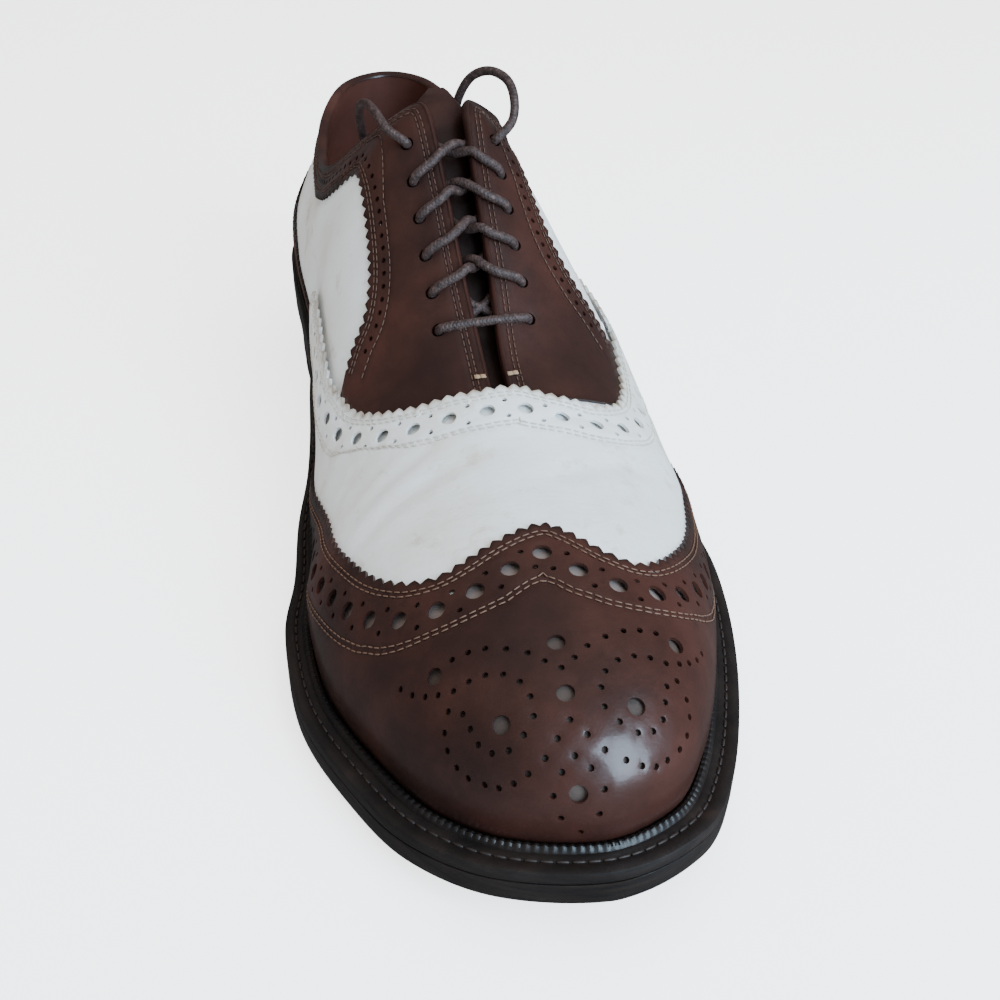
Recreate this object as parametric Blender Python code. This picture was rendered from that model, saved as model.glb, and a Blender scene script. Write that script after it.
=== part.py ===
"""Spectator shoe: a wing-tip lace-up for the right foot, empty and standing on its sole.

Metres, +Z up. The toe points along -Y and the inner (medial) side of the foot is at +X.
The upper is one surface, drawn between the feather edge at the sole and the ridge or top line.
"""

import math

import bmesh
import bpy
import numpy as np
from mathutils import Vector
from mathutils.bvhtree import BVHTree
from mathutils.geometry import delaunay_2d_cdt

# Driving sizes of the bottom
SOLE_LENGTH = 0.304
BALL_HALF_WIDTH = 0.058
OUTSOLE_THICK = 0.0056
WELT_THICK = 0.0032
WELT_EXTENSION = 0.0095
WELT_UNDER_UPPER = 0.0026
STORM_RIDGE_HIGH = 0.0015
STORM_RIDGE_WIDE = 0.0024
RIDGE_FADES_FROM = 0.55
RIDGE_GONE_AT = 0.30
RIDGE_LEAST = 0.08
RIDGE_CLEAR_OF_EDGE = 0.2
HEEL_SEAT_RISE = 0.0245
TOE_SPRING = 0.0095
HEEL_LENGTH = 0.076
HEEL_TAPER = 0.0016
HEEL_INSET = 0.0004
HEEL_BREAST_HOLLOW = 0.006
TOP_PIECE_THICK = 0.006
INSOLE_THICK = 0.0042
EDGE_ROUND = 0.0009

# Driving sizes of the upper
INSTEP_HEIGHT = 0.1065
UPPER_WALL = 0.0020
OVERLAY_THICK = 0.0011
TONGUE_THICK = 0.0022
TONGUE_HALF_WIDTH = 0.027
TONGUE_ABOVE_FACING = 0.013

# Driving sizes of the lacing
LACE_ROWS = 6
EYELET_PITCH = 0.0112
EYELET_FROM_MIDDLE = 0.0116
EYELET_RADIUS = 0.0021
FIRST_EYELET = 0.0150
LACE_RADIUS = 0.00125
PUNCH_LENGTH = 0.012

# An edge that turns more than this, in degrees, is shaded sharp.
SHARP_ANGLE = 40

# Clearances
SEAT_GAP = 0.0003
OVERLAY_GAP = 0.00045
LACE_CLEAR = 0.0005

# The bottom of the outsole from the side, in percent: how far along from the heel, and the height there as a
# share of the heel seat's rise (behind the ball) or of the toe spring (in front of it).
ARCH = (
    # along, of_heel_rise, of_toe_spring
    (0, 100, 0),
    (13, 97, 0),
    (26, 88, 0),
    (38, 60, 0),
    (51, 24, 0),
    (62, 2.5, 0),
    (66, 0, 0),
    (78, 0, 0),
    (90, 0, 31),
    (100, 0, 100),
)

# The last, one row for each place round the sole, in percent. along and top_along: of the sole's length from
# the heel. across, top_across, bulge and crown: of half the width at the ball, + towards the inner side.
# welt: of the welt's extension. height: of the instep's height. rise and drop: of the wall's own height.
# bulge and rise place the wall's swell above the feather, crown and drop the way it comes in to the top.
# tilt: how far the ridge's slope carries on into the wall below it.
LAST_COLUMNS = (
    "along", "across", "welt", "top_along", "top_across", "height", "bulge", "rise", "crown", "drop", "tilt",
)
LAST = (
    (0.0, -2.6, 32, 3.0, 1.0, 78.5, 10.5, 30, 6.0, 30, 0),
    (3.0, -41.0, 32, 5.6, -24.0, 77.4, 10.5, 30, 6.0, 30, 0),
    (10.5, -63.0, 32, 12.6, -40.0, 73.6, 8.5, 33, 5.0, 33, 0),
    (19.7, -67.2, 33, 21.6, -47.0, 70.0, 7.0, 36, 4.0, 33, 0),
    (27.6, -66.6, 35, 29.5, -44.0, 75.5, 7.0, 40, 12.0, 26, 0),
    (34.5, -66.7, 42, 35.6, -27.0, 89.5, 7.0, 42, 22.0, 14, 0),
    (40.1, -70.0, 44, 39.2, -5.0, 99.6, 10.0, 45, 29.0, 7, 0),
    (45.4, -73.0, 48, 45.1, -1.0, 86.8, 11.0, 45, 32.0, 4, 0),
    (50.7, -77.5, 58, 52.1, 1.6, 70.4, 12.0, 45, 34.0, 2, 0),
    (56.6, -85.0, 70, 59.9, 4.8, 54.8, 11.5, 46, 35.0, 0, 32),
    (63.2, -90.0, 80, 66.2, 4.3, 49.6, 8.5, 50, 38.0, 0, 21),
    (69.7, -97.0, 86, 72.4, 3.1, 47.0, 8.5, 53, 42.0, 0, 12),
    (78.3, -95.5, 90, 79.4, 1.7, 45.2, 8.5, 56, 43.0, 0, 10),
    (86.2, -82.4, 94, 86.2, 0.9, 42.8, 8.5, 60, 43.0, 0, 14),
    (93.1, -64.5, 97, 86.2, 0.9, 42.8, 8.5, 62, 43.0, 0, 14),
    (97.9, -38.0, 100, 86.2, 0.9, 42.8, 8.5, 62, 43.0, 0, 14),
    (100.0, 1.0, 100, 86.2, 0.9, 42.8, 8.5, 62, 43.0, 0, 14),
    (97.7, 35.0, 100, 86.2, 0.9, 42.8, 8.5, 62, 43.0, 0, 14),
    (93.1, 55.0, 97, 86.2, 0.9, 42.8, 8.5, 62, 43.0, 0, 14),
    (86.2, 73.0, 94, 86.2, 0.9, 42.8, 8.5, 60, 43.0, 0, 14),
    (78.3, 88.0, 90, 79.4, 1.7, 45.2, 8.5, 56, 43.0, 0, 10),
    (70.1, 97.5, 86, 72.4, 3.1, 47.0, 8.5, 53, 43.0, 0, 12),
    (63.5, 99.0, 80, 66.2, 4.3, 49.6, 14.0, 52, 45.0, 0, 21),
    (56.9, 94.0, 70, 59.9, 4.8, 54.8, 19.0, 50, 46.0, 0, 32),
    (51.0, 84.0, 58, 52.1, 8.0, 70.4, 21.0, 50, 44.0, 2, 0),
    (45.7, 73.0, 48, 45.1, 10.0, 86.8, 18.0, 50, 34.0, 4, 0),
    (40.1, 63.5, 44, 39.2, 13.2, 99.6, 13.0, 46, 21.0, 7, 0),
    (34.5, 57.0, 42, 35.6, 32.0, 91.5, 9.5, 43, 11.0, 14, 0),
    (27.6, 55.0, 35, 29.5, 40.0, 78.5, 7.0, 40, 10.0, 26, 0),
    (19.7, 58.0, 33, 21.6, 42.0, 72.0, 7.0, 36, 4.0, 33, 0),
    (10.5, 56.0, 32, 12.6, 37.0, 74.6, 8.5, 33, 5.0, 33, 0),
    (3.0, 36.0, 32, 5.6, 24.0, 77.8, 10.5, 30, 6.0, 30, 0),
)
ROWS = len(LAST)
TOE_ROW = 16
THROAT_ROW = 9
FACING_TOP_ROW = 6
SMOOTH_COLUMNS = ("along", "across")
TOP_LINE_COLUMNS = ("top_along", "top_across", "height")
LAST_TABLE = np.array(LAST, float) / 100.0

# Half the back seam's width, and how far the facings stop short of the throat, in rows of the last.
BACK_SEAM = 0.06
THROAT_TACK = 0.12

# Outlines of the overlays, as (row, share of the way up the wall), each row counted from the heel along its
# own side of the shoe.
WING_EDGE = {
    "outer": (
        (7.2, 0.0), (7.9, 0.07), (8.6, 0.14), (9.2, 0.20), (9.9, 0.28), (10.7, 0.36), (11.35, 0.44),
        (11.7, 0.50), (11.95, 0.57), (12.08, 0.64), (12.1, 0.70), (12.0, 0.78), (11.85, 0.87),
        (11.75, 0.94), (11.7, 1.0),
    ),
    "inner": (
        (7.6, 0.0), (8.3, 0.08), (9.2, 0.18), (10.0, 0.26), (10.7, 0.32), (11.25, 0.38), (11.7, 0.46),
        (12.05, 0.56), (12.25, 0.65), (12.32, 0.74), (12.2, 0.83), (11.95, 0.91), (11.78, 0.96),
        (11.7, 1.0),
    ),
}
FACING_EDGE = {
    "outer": (
        (9.12, 0.88), (9.2, 0.80), (9.2, 0.72), (9.1, 0.62), (8.85, 0.52), (8.5, 0.455), (8.15, 0.44),
        (7.95, 0.50), (7.8, 0.56), (7.5, 0.60), (7.1, 0.62), (6.5, 0.63), (5.95, 0.635), (5.4, 0.65),
        (5.05, 0.66), (4.7, 0.67), (4.35, 0.71), (3.9, 0.76), (3.0, 0.79), (2.0, 0.80), (1.0, 0.81),
        (BACK_SEAM, 0.815),
    ),
    "inner": (
        (9.15, 0.90), (9.35, 0.84), (9.45, 0.77), (9.45, 0.70), (9.35, 0.62), (9.05, 0.55), (8.6, 0.50),
        (8.25, 0.50), (8.0, 0.55), (7.8, 0.61), (7.5, 0.655), (7.1, 0.675), (6.5, 0.67), (5.95, 0.66),
        (5.4, 0.66), (5.05, 0.665), (4.7, 0.68), (4.35, 0.72), (3.9, 0.76), (3.0, 0.79), (2.0, 0.80),
        (1.0, 0.81), (BACK_SEAM, 0.815),
    ),
}
COUNTER_EDGE = (
    (0.0, 0.60), (0.8, 0.57), (1.6, 0.49), (2.3, 0.36), (3.1, 0.22), (3.9, 0.12), (4.4, 0.07), (4.7, 0.0),
)

# An overlay starts this far up the wall, clear of the welt's ridge, and stops this far up, at the top line.
FOOT_SHARE = 0.016
TOP_SHARE = 0.985

# About how long one row and how high the whole wall are, for the flat drawing of a facing or the counter.
ROW_SPAN = 0.017
WALL_SPAN = 0.085

# About how far apart the corners of the overlays' triangles lie, fine enough to keep clear of the upper.
CAP_SPACING = 0.0056
FACING_SPACING = 0.0060
COUNTER_SPACING = 0.0054
FOOT_STEP = 0.33

# Corners along the upper's net: so many to a row of the last, and so many steps up the wall.
NET_ROWS = 3
NET_UP = 9
WELT_RINGS_A_ROW = 2.5
SOLE_STATIONS = 46
INSOLE_STATIONS = 30

# The least flat end of a plate, so that its first and last section keep a width.
END_CUT = 2e-5

# The tongue's sections, as rows of the last.
TONGUE_ROWS = (10.2, 9.7, 9.3, 8.9, 8.5, 8.0, 7.4, 6.8, 6.2)

# The ends of the lace, in metres from above their top eyelets.
LACE_END_STEPS = {
    "outer": (
        (-0.0038, 0.0038, 0.0020), (-0.0056, 0.0086, 0.0044), (-0.0070, 0.0144, 0.0052),
        (-0.0082, 0.0208, 0.0034), (-0.0082, 0.0270, -0.0014), (-0.0070, 0.0310, -0.0088),
        (-0.0054, 0.0330, -0.0166), (-0.0040, 0.0342, -0.0244),
    ),
    "inner": (
        (0.0038, 0.0032, 0.0026), (0.0052, 0.0072, 0.0072), (0.0044, 0.0122, 0.0108),
        (0.0008, 0.0174, 0.0120), (-0.0034, 0.0216, 0.0096), (-0.0066, 0.0244, 0.0034),
        (-0.0078, 0.0260, -0.0050), (-0.0078, 0.0268, -0.0140),
    ),
}


def cell(row, column):
    return LAST_TABLE[row % ROWS, LAST_COLUMNS.index(column)]


def monotone_slope(before, here, after):
    """The slope of a curve through three even steps that never overshoots them."""
    if (here - before) * (after - here) <= 0:
        return 0.0
    return 2.0 / (1.0 / (here - before) + 1.0 / (after - here))


def table_value(row, column):
    """One column of the last at any place round the sole, row 3.5 being half way from row 3 to row 4."""
    low = math.floor(row)
    share = row - low
    before, start, end, after = (cell(low + k, column) for k in (-1, 0, 1, 2))
    on_top_line = column in TOP_LINE_COLUMNS and min(row % ROWS, ROWS - row % ROWS) < FACING_TOP_ROW - 1
    if column in SMOOTH_COLUMNS or on_top_line:
        slopes = (end - before) / 2.0, (after - start) / 2.0
    else:
        slopes = monotone_slope(before, start, end), monotone_slope(start, end, after)
    s2, s3 = share * share, share ** 3
    return (
        start * (2 * s3 - 3 * s2 + 1) + slopes[0] * (s3 - 2 * s2 + share)
        + end * (3 * s2 - 2 * s3) + slopes[1] * (s3 - s2)
    )


def arch_height(y):
    """Height of the outsole's underside at a place along the shoe."""
    along = 100.0 * (0.5 - y / SOLE_LENGTH)
    stations = [row[0] for row in ARCH]
    heights = [(row[1] * HEEL_SEAT_RISE + row[2] * TOE_SPRING) / 100.0 for row in ARCH]
    k = int(np.clip(np.searchsorted(stations, along) - 1, 0, len(ARCH) - 2))
    slopes = []
    for j in (k, k + 1):
        if 0 < j < len(ARCH) - 1:
            back = (heights[j] - heights[j - 1]) / (stations[j] - stations[j - 1])
            front = (heights[j + 1] - heights[j]) / (stations[j + 1] - stations[j])
            slopes.append(0.0 if back * front <= 0 else 2.0 / (1.0 / back + 1.0 / front))
        else:
            other = j - 1 if j else 1
            slopes.append((heights[j] - heights[other]) / (stations[j] - stations[other]))
    width = stations[k + 1] - stations[k]
    share = min(max((along - stations[k]) / width, 0.0), 1.0)
    s2, s3 = share * share, share ** 3
    return (
        heights[k] * (2 * s3 - 3 * s2 + 1) + slopes[0] * width * (s3 - 2 * s2 + share)
        + heights[k + 1] * (3 * s2 - 2 * s3) + slopes[1] * width * (s3 - s2)
    )


def outsole_top(y):
    return arch_height(y) + OUTSOLE_THICK


def welt_top(y):
    return outsole_top(y) + SEAT_GAP + WELT_THICK


def from_heel(share):
    """The Y of a share of the sole's length from the heel."""
    return (0.5 - share) * SOLE_LENGTH


def edge_point(row):
    """The sole's outer edge in plan."""
    return np.array([table_value(row, "across") * BALL_HALF_WIDTH, from_heel(table_value(row, "along"))])


def outward(row):
    """The direction in plan that points out of the shoe, square to the sole's edge."""
    step = 0.02
    run = edge_point(row + step) - edge_point(row - step)
    run /= np.linalg.norm(run)
    return np.array([run[1], -run[0]])


def inset_point(row, distance):
    """A point in plan that far inside the sole's edge."""
    return edge_point(row) - outward(row) * distance


def welt_width(row):
    return table_value(row, "welt") * WELT_EXTENSION


def top_point(row):
    """The upper's top: the ridge over the toe and vamp, the slit's edge at the facings, then the top line."""
    row %= ROWS
    if THROAT_ROW <= row <= ROWS - THROAT_ROW:
        row = min(row, ROWS - row)
    across = table_value(row, "top_across") * BALL_HALF_WIDTH
    height = table_value(row, "height") * INSTEP_HEIGHT
    return np.array([across, from_heel(table_value(row, "top_along")), height])


def wall_handles(row):
    """The four points of the cubic curve that the wall follows from the feather to its top."""
    foot = inset_point(row, welt_width(row))
    out = outward(row)
    top = top_point(row)
    low = np.array([foot[0], foot[1], welt_top(foot[1]) + SEAT_GAP])
    tall = top[2] - low[2]
    swell = low.copy()
    swell[:2] += out * table_value(row, "bulge") * BALL_HALF_WIDTH
    swell[2] += table_value(row, "rise") * tall
    reach = foot - top[:2]
    reach /= np.linalg.norm(reach)
    blend = min(max((min(row % ROWS, ROWS - row % ROWS) - 4.0) / 5.0, 0.0), 1.0)
    reach = blend * reach + (1.0 - blend) * out
    reach /= np.linalg.norm(reach)
    come_in = top.copy()
    come_in[:2] += reach * table_value(row, "crown") * BALL_HALF_WIDTH
    come_in[2] += table_value(row, "tilt") * (come_in[1] - top[1]) - table_value(row, "drop") * tall
    return low, swell, come_in, top, reach


def along_wall(handles, t):
    low, swell, come_in, top = handles[:4]
    u = 1.0 - t
    return u ** 3 * low + 3 * u * u * t * swell + 3 * u * t * t * come_in + t ** 3 * top


def wall_point(row, t):
    """A point of the upper's outer face: t is 0 at the feather and 1 at the top."""
    return along_wall(wall_handles(row), t)


def wall_normal(row, t):
    """The outward unit normal of the upper's outer face."""
    step_row, step_t = 0.02, 0.01
    t = min(t, 0.985)
    across = wall_point(row + step_row, t) - wall_point(row - step_row, t)
    up = wall_point(row, t + step_t) - wall_point(row, max(t - step_t, 0.0))
    normal = np.cross(across, up)
    return normal / np.linalg.norm(normal)


class Forme:
    """The upper laid flat: each wall curve is laid out from its top, and found again through a fine net."""

    STEPS_A_ROW = 8
    STEPS_UP = 40

    def __init__(self):
        rows = np.arange(ROWS * self.STEPS_A_ROW) / self.STEPS_A_ROW
        shares = np.linspace(0.0, 1.0, self.STEPS_UP + 1)
        self.solid, self.flat = [], []
        for row in rows:
            handles = wall_handles(row)
            curve = np.array([along_wall(handles, t) for t in shares])
            steps = np.linalg.norm(np.diff(curve, axis=0), axis=1)
            girth = np.concatenate([np.cumsum(steps[::-1])[::-1], [0.0]])
            self.solid.append(curve)
            self.flat.append(handles[3][:2] + girth[:, None] * handles[4])
        self.solid, self.flat = np.array(self.solid), np.array(self.flat)
        count, high = self.solid.shape[:2]
        normals = np.zeros_like(self.solid)
        for i, row in enumerate(rows):
            for j, t in enumerate(shares):
                normals[i, j] = wall_normal(row, t)
        pole = self.solid[TOE_ROW * self.STEPS_A_ROW, -1]
        at_pole = np.linalg.norm(self.solid[:, -1] - pole, axis=1) < 1e-6
        normals[at_pole, -1] = normals[at_pole, -1].mean(axis=0)
        self.normals = normals
        corners = []
        for i in range(count):
            after = (i + 1) % count
            for j in range(high - 1):
                a, b, c, d = i * high + j, after * high + j, after * high + j + 1, i * high + j + 1
                corners += [(a, b, c), (a, c, d)]
        self.corners = np.array(corners)
        points = [(x, y, 0.0) for x, y in self.flat.reshape(-1, 2)]
        self.net = BVHTree.FromPolygons(points, [tuple(int(v) for v in c) for c in corners])

    def lay(self, row, t):
        """The flat place of a point given by row and share up the wall."""
        i = (row % ROWS) * self.STEPS_A_ROW
        j = t * self.STEPS_UP
        i0, j0 = int(math.floor(i)), min(int(math.floor(j)), self.STEPS_UP - 1)
        fi, fj = i - i0, j - j0
        i1 = (i0 + 1) % len(self.flat)
        i0 %= len(self.flat)
        return (
            (1 - fi) * ((1 - fj) * self.flat[i0, j0] + fj * self.flat[i0, j0 + 1])
            + fi * ((1 - fj) * self.flat[i1, j0] + fj * self.flat[i1, j0 + 1])
        )

    def raise_up(self, place, height):
        """The point of the shoe, that height off the upper's face, for a flat place."""
        _, _, face, _ = self.net.find_nearest(Vector((place[0], place[1], 0.0)))
        ids = self.corners[face]
        a, b, c = self.flat.reshape(-1, 2)[ids]
        spread = np.column_stack([b - a, c - a])
        flat = abs(np.linalg.det(spread)) <= 1e-14
        share = (1 / 3, 1 / 3) if flat else np.linalg.solve(spread, np.asarray(place) - a)
        weights = np.array([1.0 - share[0] - share[1], share[0], share[1]])
        point = weights @ self.solid.reshape(-1, 3)[ids]
        normal = weights @ self.normals.reshape(-1, 3)[ids]
        return point + height * normal / np.linalg.norm(normal)


def smooth_run(points, steps):
    """A rounded line through flat points, that many steps between each two."""
    points = [np.asarray(p, float) for p in points]
    padded = [2 * points[0] - points[1], *points, 2 * points[-1] - points[-2]]
    run = []
    for a, b, c, d in zip(padded, padded[1:], padded[2:], padded[3:]):
        for k in range(steps):
            t = k / steps
            run.append(0.5 * (2 * b + (c - a) * t + (2 * a - 5 * b + 4 * c - d) * t * t
                              + (3 * b - a - 3 * c + d) * t ** 3))
    run.append(points[-1])
    return run


def inside(outline, point):
    """Whether a flat point lies inside a closed flat outline."""
    x, y = point
    found = False
    for (xa, ya), (xb, yb) in zip(outline, outline[1:] + outline[:1]):
        if (ya > y) != (yb > y) and x < xa + (y - ya) * (xb - xa) / (yb - ya):
            found = not found
    return found


def clear_scene():
    for old in list(bpy.data.objects):
        bpy.data.objects.remove(old, do_unlink=True)


def material(name, colour, roughness, metallic=0.0):
    made = bpy.data.materials.new(name)
    made.use_nodes = True
    shader = made.node_tree.nodes["Principled BSDF"]
    shader.inputs["Base Color"].default_value = (*colour, 1.0)
    shader.inputs["Roughness"].default_value = roughness
    shader.inputs["Metallic"].default_value = metallic
    return made


def add_object(name, mesh, finish, smooth=True):
    node = bpy.data.objects.new(name, mesh)
    bpy.context.scene.collection.objects.link(node)
    if finish is not None:
        mesh.materials.append(finish)
    if smooth:
        mesh.shade_smooth()
        mesh.set_sharp_from_angle(angle=math.radians(SHARP_ANGLE))
    return node


def mesh_from(name, points, faces, merge=2e-6):
    """A mesh with its doubles merged, its empty faces dropped and its faces turned outwards."""
    mesh = bpy.data.meshes.new(name)
    mesh.from_pydata([tuple(float(v) for v in p) for p in points], [], faces)
    work = bmesh.new()
    work.from_mesh(mesh)
    bmesh.ops.remove_doubles(work, verts=work.verts, dist=merge)
    bmesh.ops.dissolve_degenerate(work, dist=merge, edges=work.edges)
    bmesh.ops.recalc_face_normals(work, faces=work.faces)
    work.to_mesh(mesh)
    work.free()
    return mesh


def closed_rings(rings):
    """Faces between rings of equal length, each ring closed, with the first and last capped."""
    size = len(rings[0])
    faces = []
    for k in range(len(rings) - 1):
        for i in range(size):
            j = (i + 1) % size
            faces.append((k * size + i, k * size + j, (k + 1) * size + j, (k + 1) * size + i))
    faces.append(tuple(range(size))[::-1])
    faces.append(tuple((len(rings) - 1) * size + i for i in range(size)))
    return [p for ring in rings for p in ring], faces


def sole_sides(inset, stations=600):
    """The sole's outline, that far inside its edge, as two runs of X against Y from heel to toe."""
    sides = []
    for start, stop in ((0, TOE_ROW), (ROWS, TOE_ROW)):
        run = np.array([inset_point(row, inset(row)) for row in np.linspace(start, stop, stations)])
        sides.append(run[np.argsort(run[:, 1])])
    return sides


def cross_stations(sides, count):
    """Places along the shoe, close together at the round ends, with the outline's two X values at each."""
    first = max(sides[0][0, 1], sides[1][0, 1])
    last = min(sides[0][-1, 1], sides[1][-1, 1])
    turn = np.linspace(0.0, math.pi, count)
    places = (first + last) / 2 - (last - first) / 2 * np.cos(turn)
    places[0] += END_CUT
    places[-1] -= END_CUT
    return [(y, np.interp(y, sides[0][:, 1], sides[0][:, 0]), np.interp(y, sides[1][:, 1], sides[1][:, 0]))
            for y in places]


def plate(name, stations, low, high, rounding, finish):
    """A plate between two heights, with its long edges rounded off."""
    rings = []
    for y, left, right in stations:
        soft = min(rounding, (right - left) / 5)
        bottom, top = low(y), high(y)
        rings.append([
            (left + soft, y, bottom), (left, y, bottom + soft), (left, y, top - soft), (left + soft, y, top),
            (right - soft, y, top), (right, y, top - soft), (right, y, bottom + soft), (right - soft, y, bottom),
        ])
    points, faces = closed_rings(rings)
    return add_object(name, mesh_from(name, points, faces), finish)


def make_outsole(finish):
    stations = cross_stations(sole_sides(lambda row: 0.0), SOLE_STATIONS)
    return plate("outsole", stations, arch_height, outsole_top, EDGE_ROUND, finish)


def make_insole(finish):
    sides = sole_sides(lambda row: welt_width(row) + WELT_UNDER_UPPER + 2 * SEAT_GAP)
    stations = cross_stations(sides, INSOLE_STATIONS)
    return plate("insole", stations, lambda y: outsole_top(y) + SEAT_GAP,
                 lambda y: outsole_top(y) + SEAT_GAP + INSOLE_THICK, EDGE_ROUND, finish)


def make_welt(finish):
    """The strip between sole and upper, with its storm ridge standing against the upper."""
    rings = []
    for row in np.arange(ROWS * WELT_RINGS_A_ROW) / WELT_RINGS_A_ROW:
        wide = welt_width(row)
        ridge_in = wide - OVERLAY_GAP - OVERLAY_THICK - SEAT_GAP
        ridge_out = max(ridge_in - STORM_RIDGE_WIDE, wide * RIDGE_CLEAR_OF_EDGE)
        fade = (table_value(row, "welt") - RIDGE_GONE_AT) / (RIDGE_FADES_FROM - RIDGE_GONE_AT)
        high = STORM_RIDGE_HIGH * min(max(fade, RIDGE_LEAST), 1.0)
        profile = (
            (0.0, EDGE_ROUND), (0.0, WELT_THICK - EDGE_ROUND), (EDGE_ROUND, WELT_THICK),
            (ridge_out, WELT_THICK), ((ridge_out + ridge_in) / 2, WELT_THICK + high),
            (ridge_in, WELT_THICK), (wide + WELT_UNDER_UPPER, WELT_THICK),
            (wide + WELT_UNDER_UPPER, 0.0), (EDGE_ROUND, 0.0),
        )
        ring = []
        for inward, up in profile:
            x, y = inset_point(row, inward)
            ring.append((x, y, outsole_top(y) + SEAT_GAP + up))
        rings.append(ring)
    size = len(rings[0])
    faces = []
    for k in range(len(rings)):
        after = (k + 1) % len(rings)
        for i in range(size):
            j = (i + 1) % size
            faces.append((k * size + i, k * size + j, after * size + j, after * size + i))
    return add_object("welt", mesh_from("welt", [p for ring in rings for p in ring], faces), finish)


def heel_block(name, low, high, taper_low, taper_high, finish):
    """A piece of the heel, with round back corners and a hollow breast."""
    around = []
    for taper in (taper_low, taper_high):
        sides = sole_sides(lambda row, taper=taper: taper)
        front = from_heel(HEEL_LENGTH / SOLE_LENGTH)
        back = min(sides[0][-1, 1], sides[1][-1, 1]) - END_CUT
        places = front + (back - front) * np.sin(np.linspace(0.0, math.pi / 2, 15))
        left = [(np.interp(y, sides[0][:, 1], sides[0][:, 0]), y) for y in places]
        right = [(np.interp(y, sides[1][:, 1], sides[1][:, 0]), y) for y in places[::-1]]
        middle = (left[0][0] + right[-1][0]) / 2
        half = (right[-1][0] - left[0][0]) / 2
        breast = [
            (middle + half * share, front + HEEL_BREAST_HOLLOW * (1.0 - share * share))
            for share in np.linspace(1.0, -1.0, 9)[1:-1]
        ]
        around.append(left + right + breast)
    rings = [[(x, y, low(y)) for x, y in around[0]], [(x, y, high(y)) for x, y in around[1]]]
    points, faces = closed_rings(rings)
    mesh = mesh_from(name, points, faces)
    work = bmesh.new()
    work.from_mesh(mesh)
    bmesh.ops.triangulate(work, faces=[f for f in work.faces if len(f.verts) > 4])
    work.to_mesh(mesh)
    work.free()
    return add_object(name, mesh, finish)


def upper_net(rows_each, steps_up):
    """The upper's outer face as a net of points and faces, open at the feather, the slit and the top line."""
    rows = np.arange(ROWS * rows_each) / rows_each
    shares = np.linspace(0.0, 1.0, steps_up + 1)
    points = []
    for row in rows:
        handles = wall_handles(row)
        points += [along_wall(handles, t) for t in shares]
    high = len(shares)
    faces = []
    for i in range(len(rows)):
        after = (i + 1) % len(rows)
        for j in range(high - 1):
            faces.append((i * high + j, i * high + j + 1, after * high + j + 1, after * high + j))
    return points, faces


def settle(node):
    """Makes what the modifiers give the object's own mesh, with its rims sharp."""
    bpy.context.view_layer.update()
    mesh = bpy.data.meshes.new_from_object(node.evaluated_get(bpy.context.evaluated_depsgraph_get()))
    node.modifiers.clear()
    node.data = mesh
    mesh.shade_smooth()
    mesh.set_sharp_from_angle(angle=math.radians(SHARP_ANGLE))


def thicken(node, thickness, offset):
    """Gives a sheet its wall: offset -1 grows it inwards, +1 outwards."""
    solid = node.modifiers.new("wall", "SOLIDIFY")
    solid.thickness = thickness
    solid.offset = offset
    solid.use_even_offset = False
    solid.use_rim = True
    settle(node)


def slit_line():
    """The outer side's slit edge from the throat to the top of the facing, with its length so far."""
    rows = np.linspace(THROAT_ROW, FACING_TOP_ROW, 61)
    line = np.array([top_point(row) for row in rows])
    run = np.concatenate([[0.0], np.cumsum(np.linalg.norm(np.diff(line, axis=0), axis=1))])
    return rows, run


def eyelet_places():
    """For each side and each eyelet, its row and its share up the wall."""
    rows, run = slit_line()
    places = {"outer": [], "inner": []}
    for k in range(LACE_ROWS):
        row = float(np.interp(FIRST_EYELET + k * EYELET_PITCH, run, rows))
        middle = (top_point(row)[0] + top_point(ROWS - row)[0]) / 2
        for side, at in (("outer", row), ("inner", ROWS - row)):
            handles = wall_handles(at)
            shares = np.linspace(1.0, 0.4, 121)
            away = [abs(along_wall(handles, t)[0] - middle) for t in shares]
            places[side].append((at, float(np.interp(EYELET_FROM_MIDDLE, away, shares))))
    return places


def eyelet_punch(places):
    """The cutter for the eyelets: one peg for each, square to the leather."""
    work = bmesh.new()
    for side in places.values():
        for row, t in side:
            centre = Vector(wall_point(row, t))
            turn = Vector(wall_normal(row, t)).to_track_quat("Z", "Y").to_matrix().to_4x4()
            turn.translation = centre
            bmesh.ops.create_cone(work, cap_ends=True, segments=12, radius1=EYELET_RADIUS,
                                  radius2=EYELET_RADIUS, depth=PUNCH_LENGTH, matrix=turn)
    mesh = bpy.data.meshes.new("eyelet_punch")
    work.to_mesh(mesh)
    work.free()
    punch = add_object("eyelet_punch", mesh, None, smooth=False)
    punch.hide_render = True
    punch.display_type = "WIRE"
    return punch


def cut(node, cutter):
    holes = node.modifiers.new("holes", "BOOLEAN")
    holes.operation = "DIFFERENCE"
    holes.solver = "EXACT"
    holes.object = cutter


def make_upper(punch, finish):
    """Vamp and quarters over their lining, as one hollow wall."""
    points, faces = upper_net(NET_ROWS, NET_UP)
    upper = add_object("upper", mesh_from("upper", points, faces), finish)
    thicken(upper, UPPER_WALL, -1.0)
    cut(upper, punch)
    return upper


def split_long(outline, spacing):
    """The closed flat outline with its long stretches cut into steps of about that spacing."""
    closed = []
    for start, stop in zip(outline, [*outline[1:], outline[0]]):
        count = max(1, round(math.hypot(stop[0] - start[0], stop[1] - start[1]) / spacing))
        for k in range(count):
            closed.append(tuple(float(a + (b - a) * k / count) for a, b in zip(start, stop)))
    return closed


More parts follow.
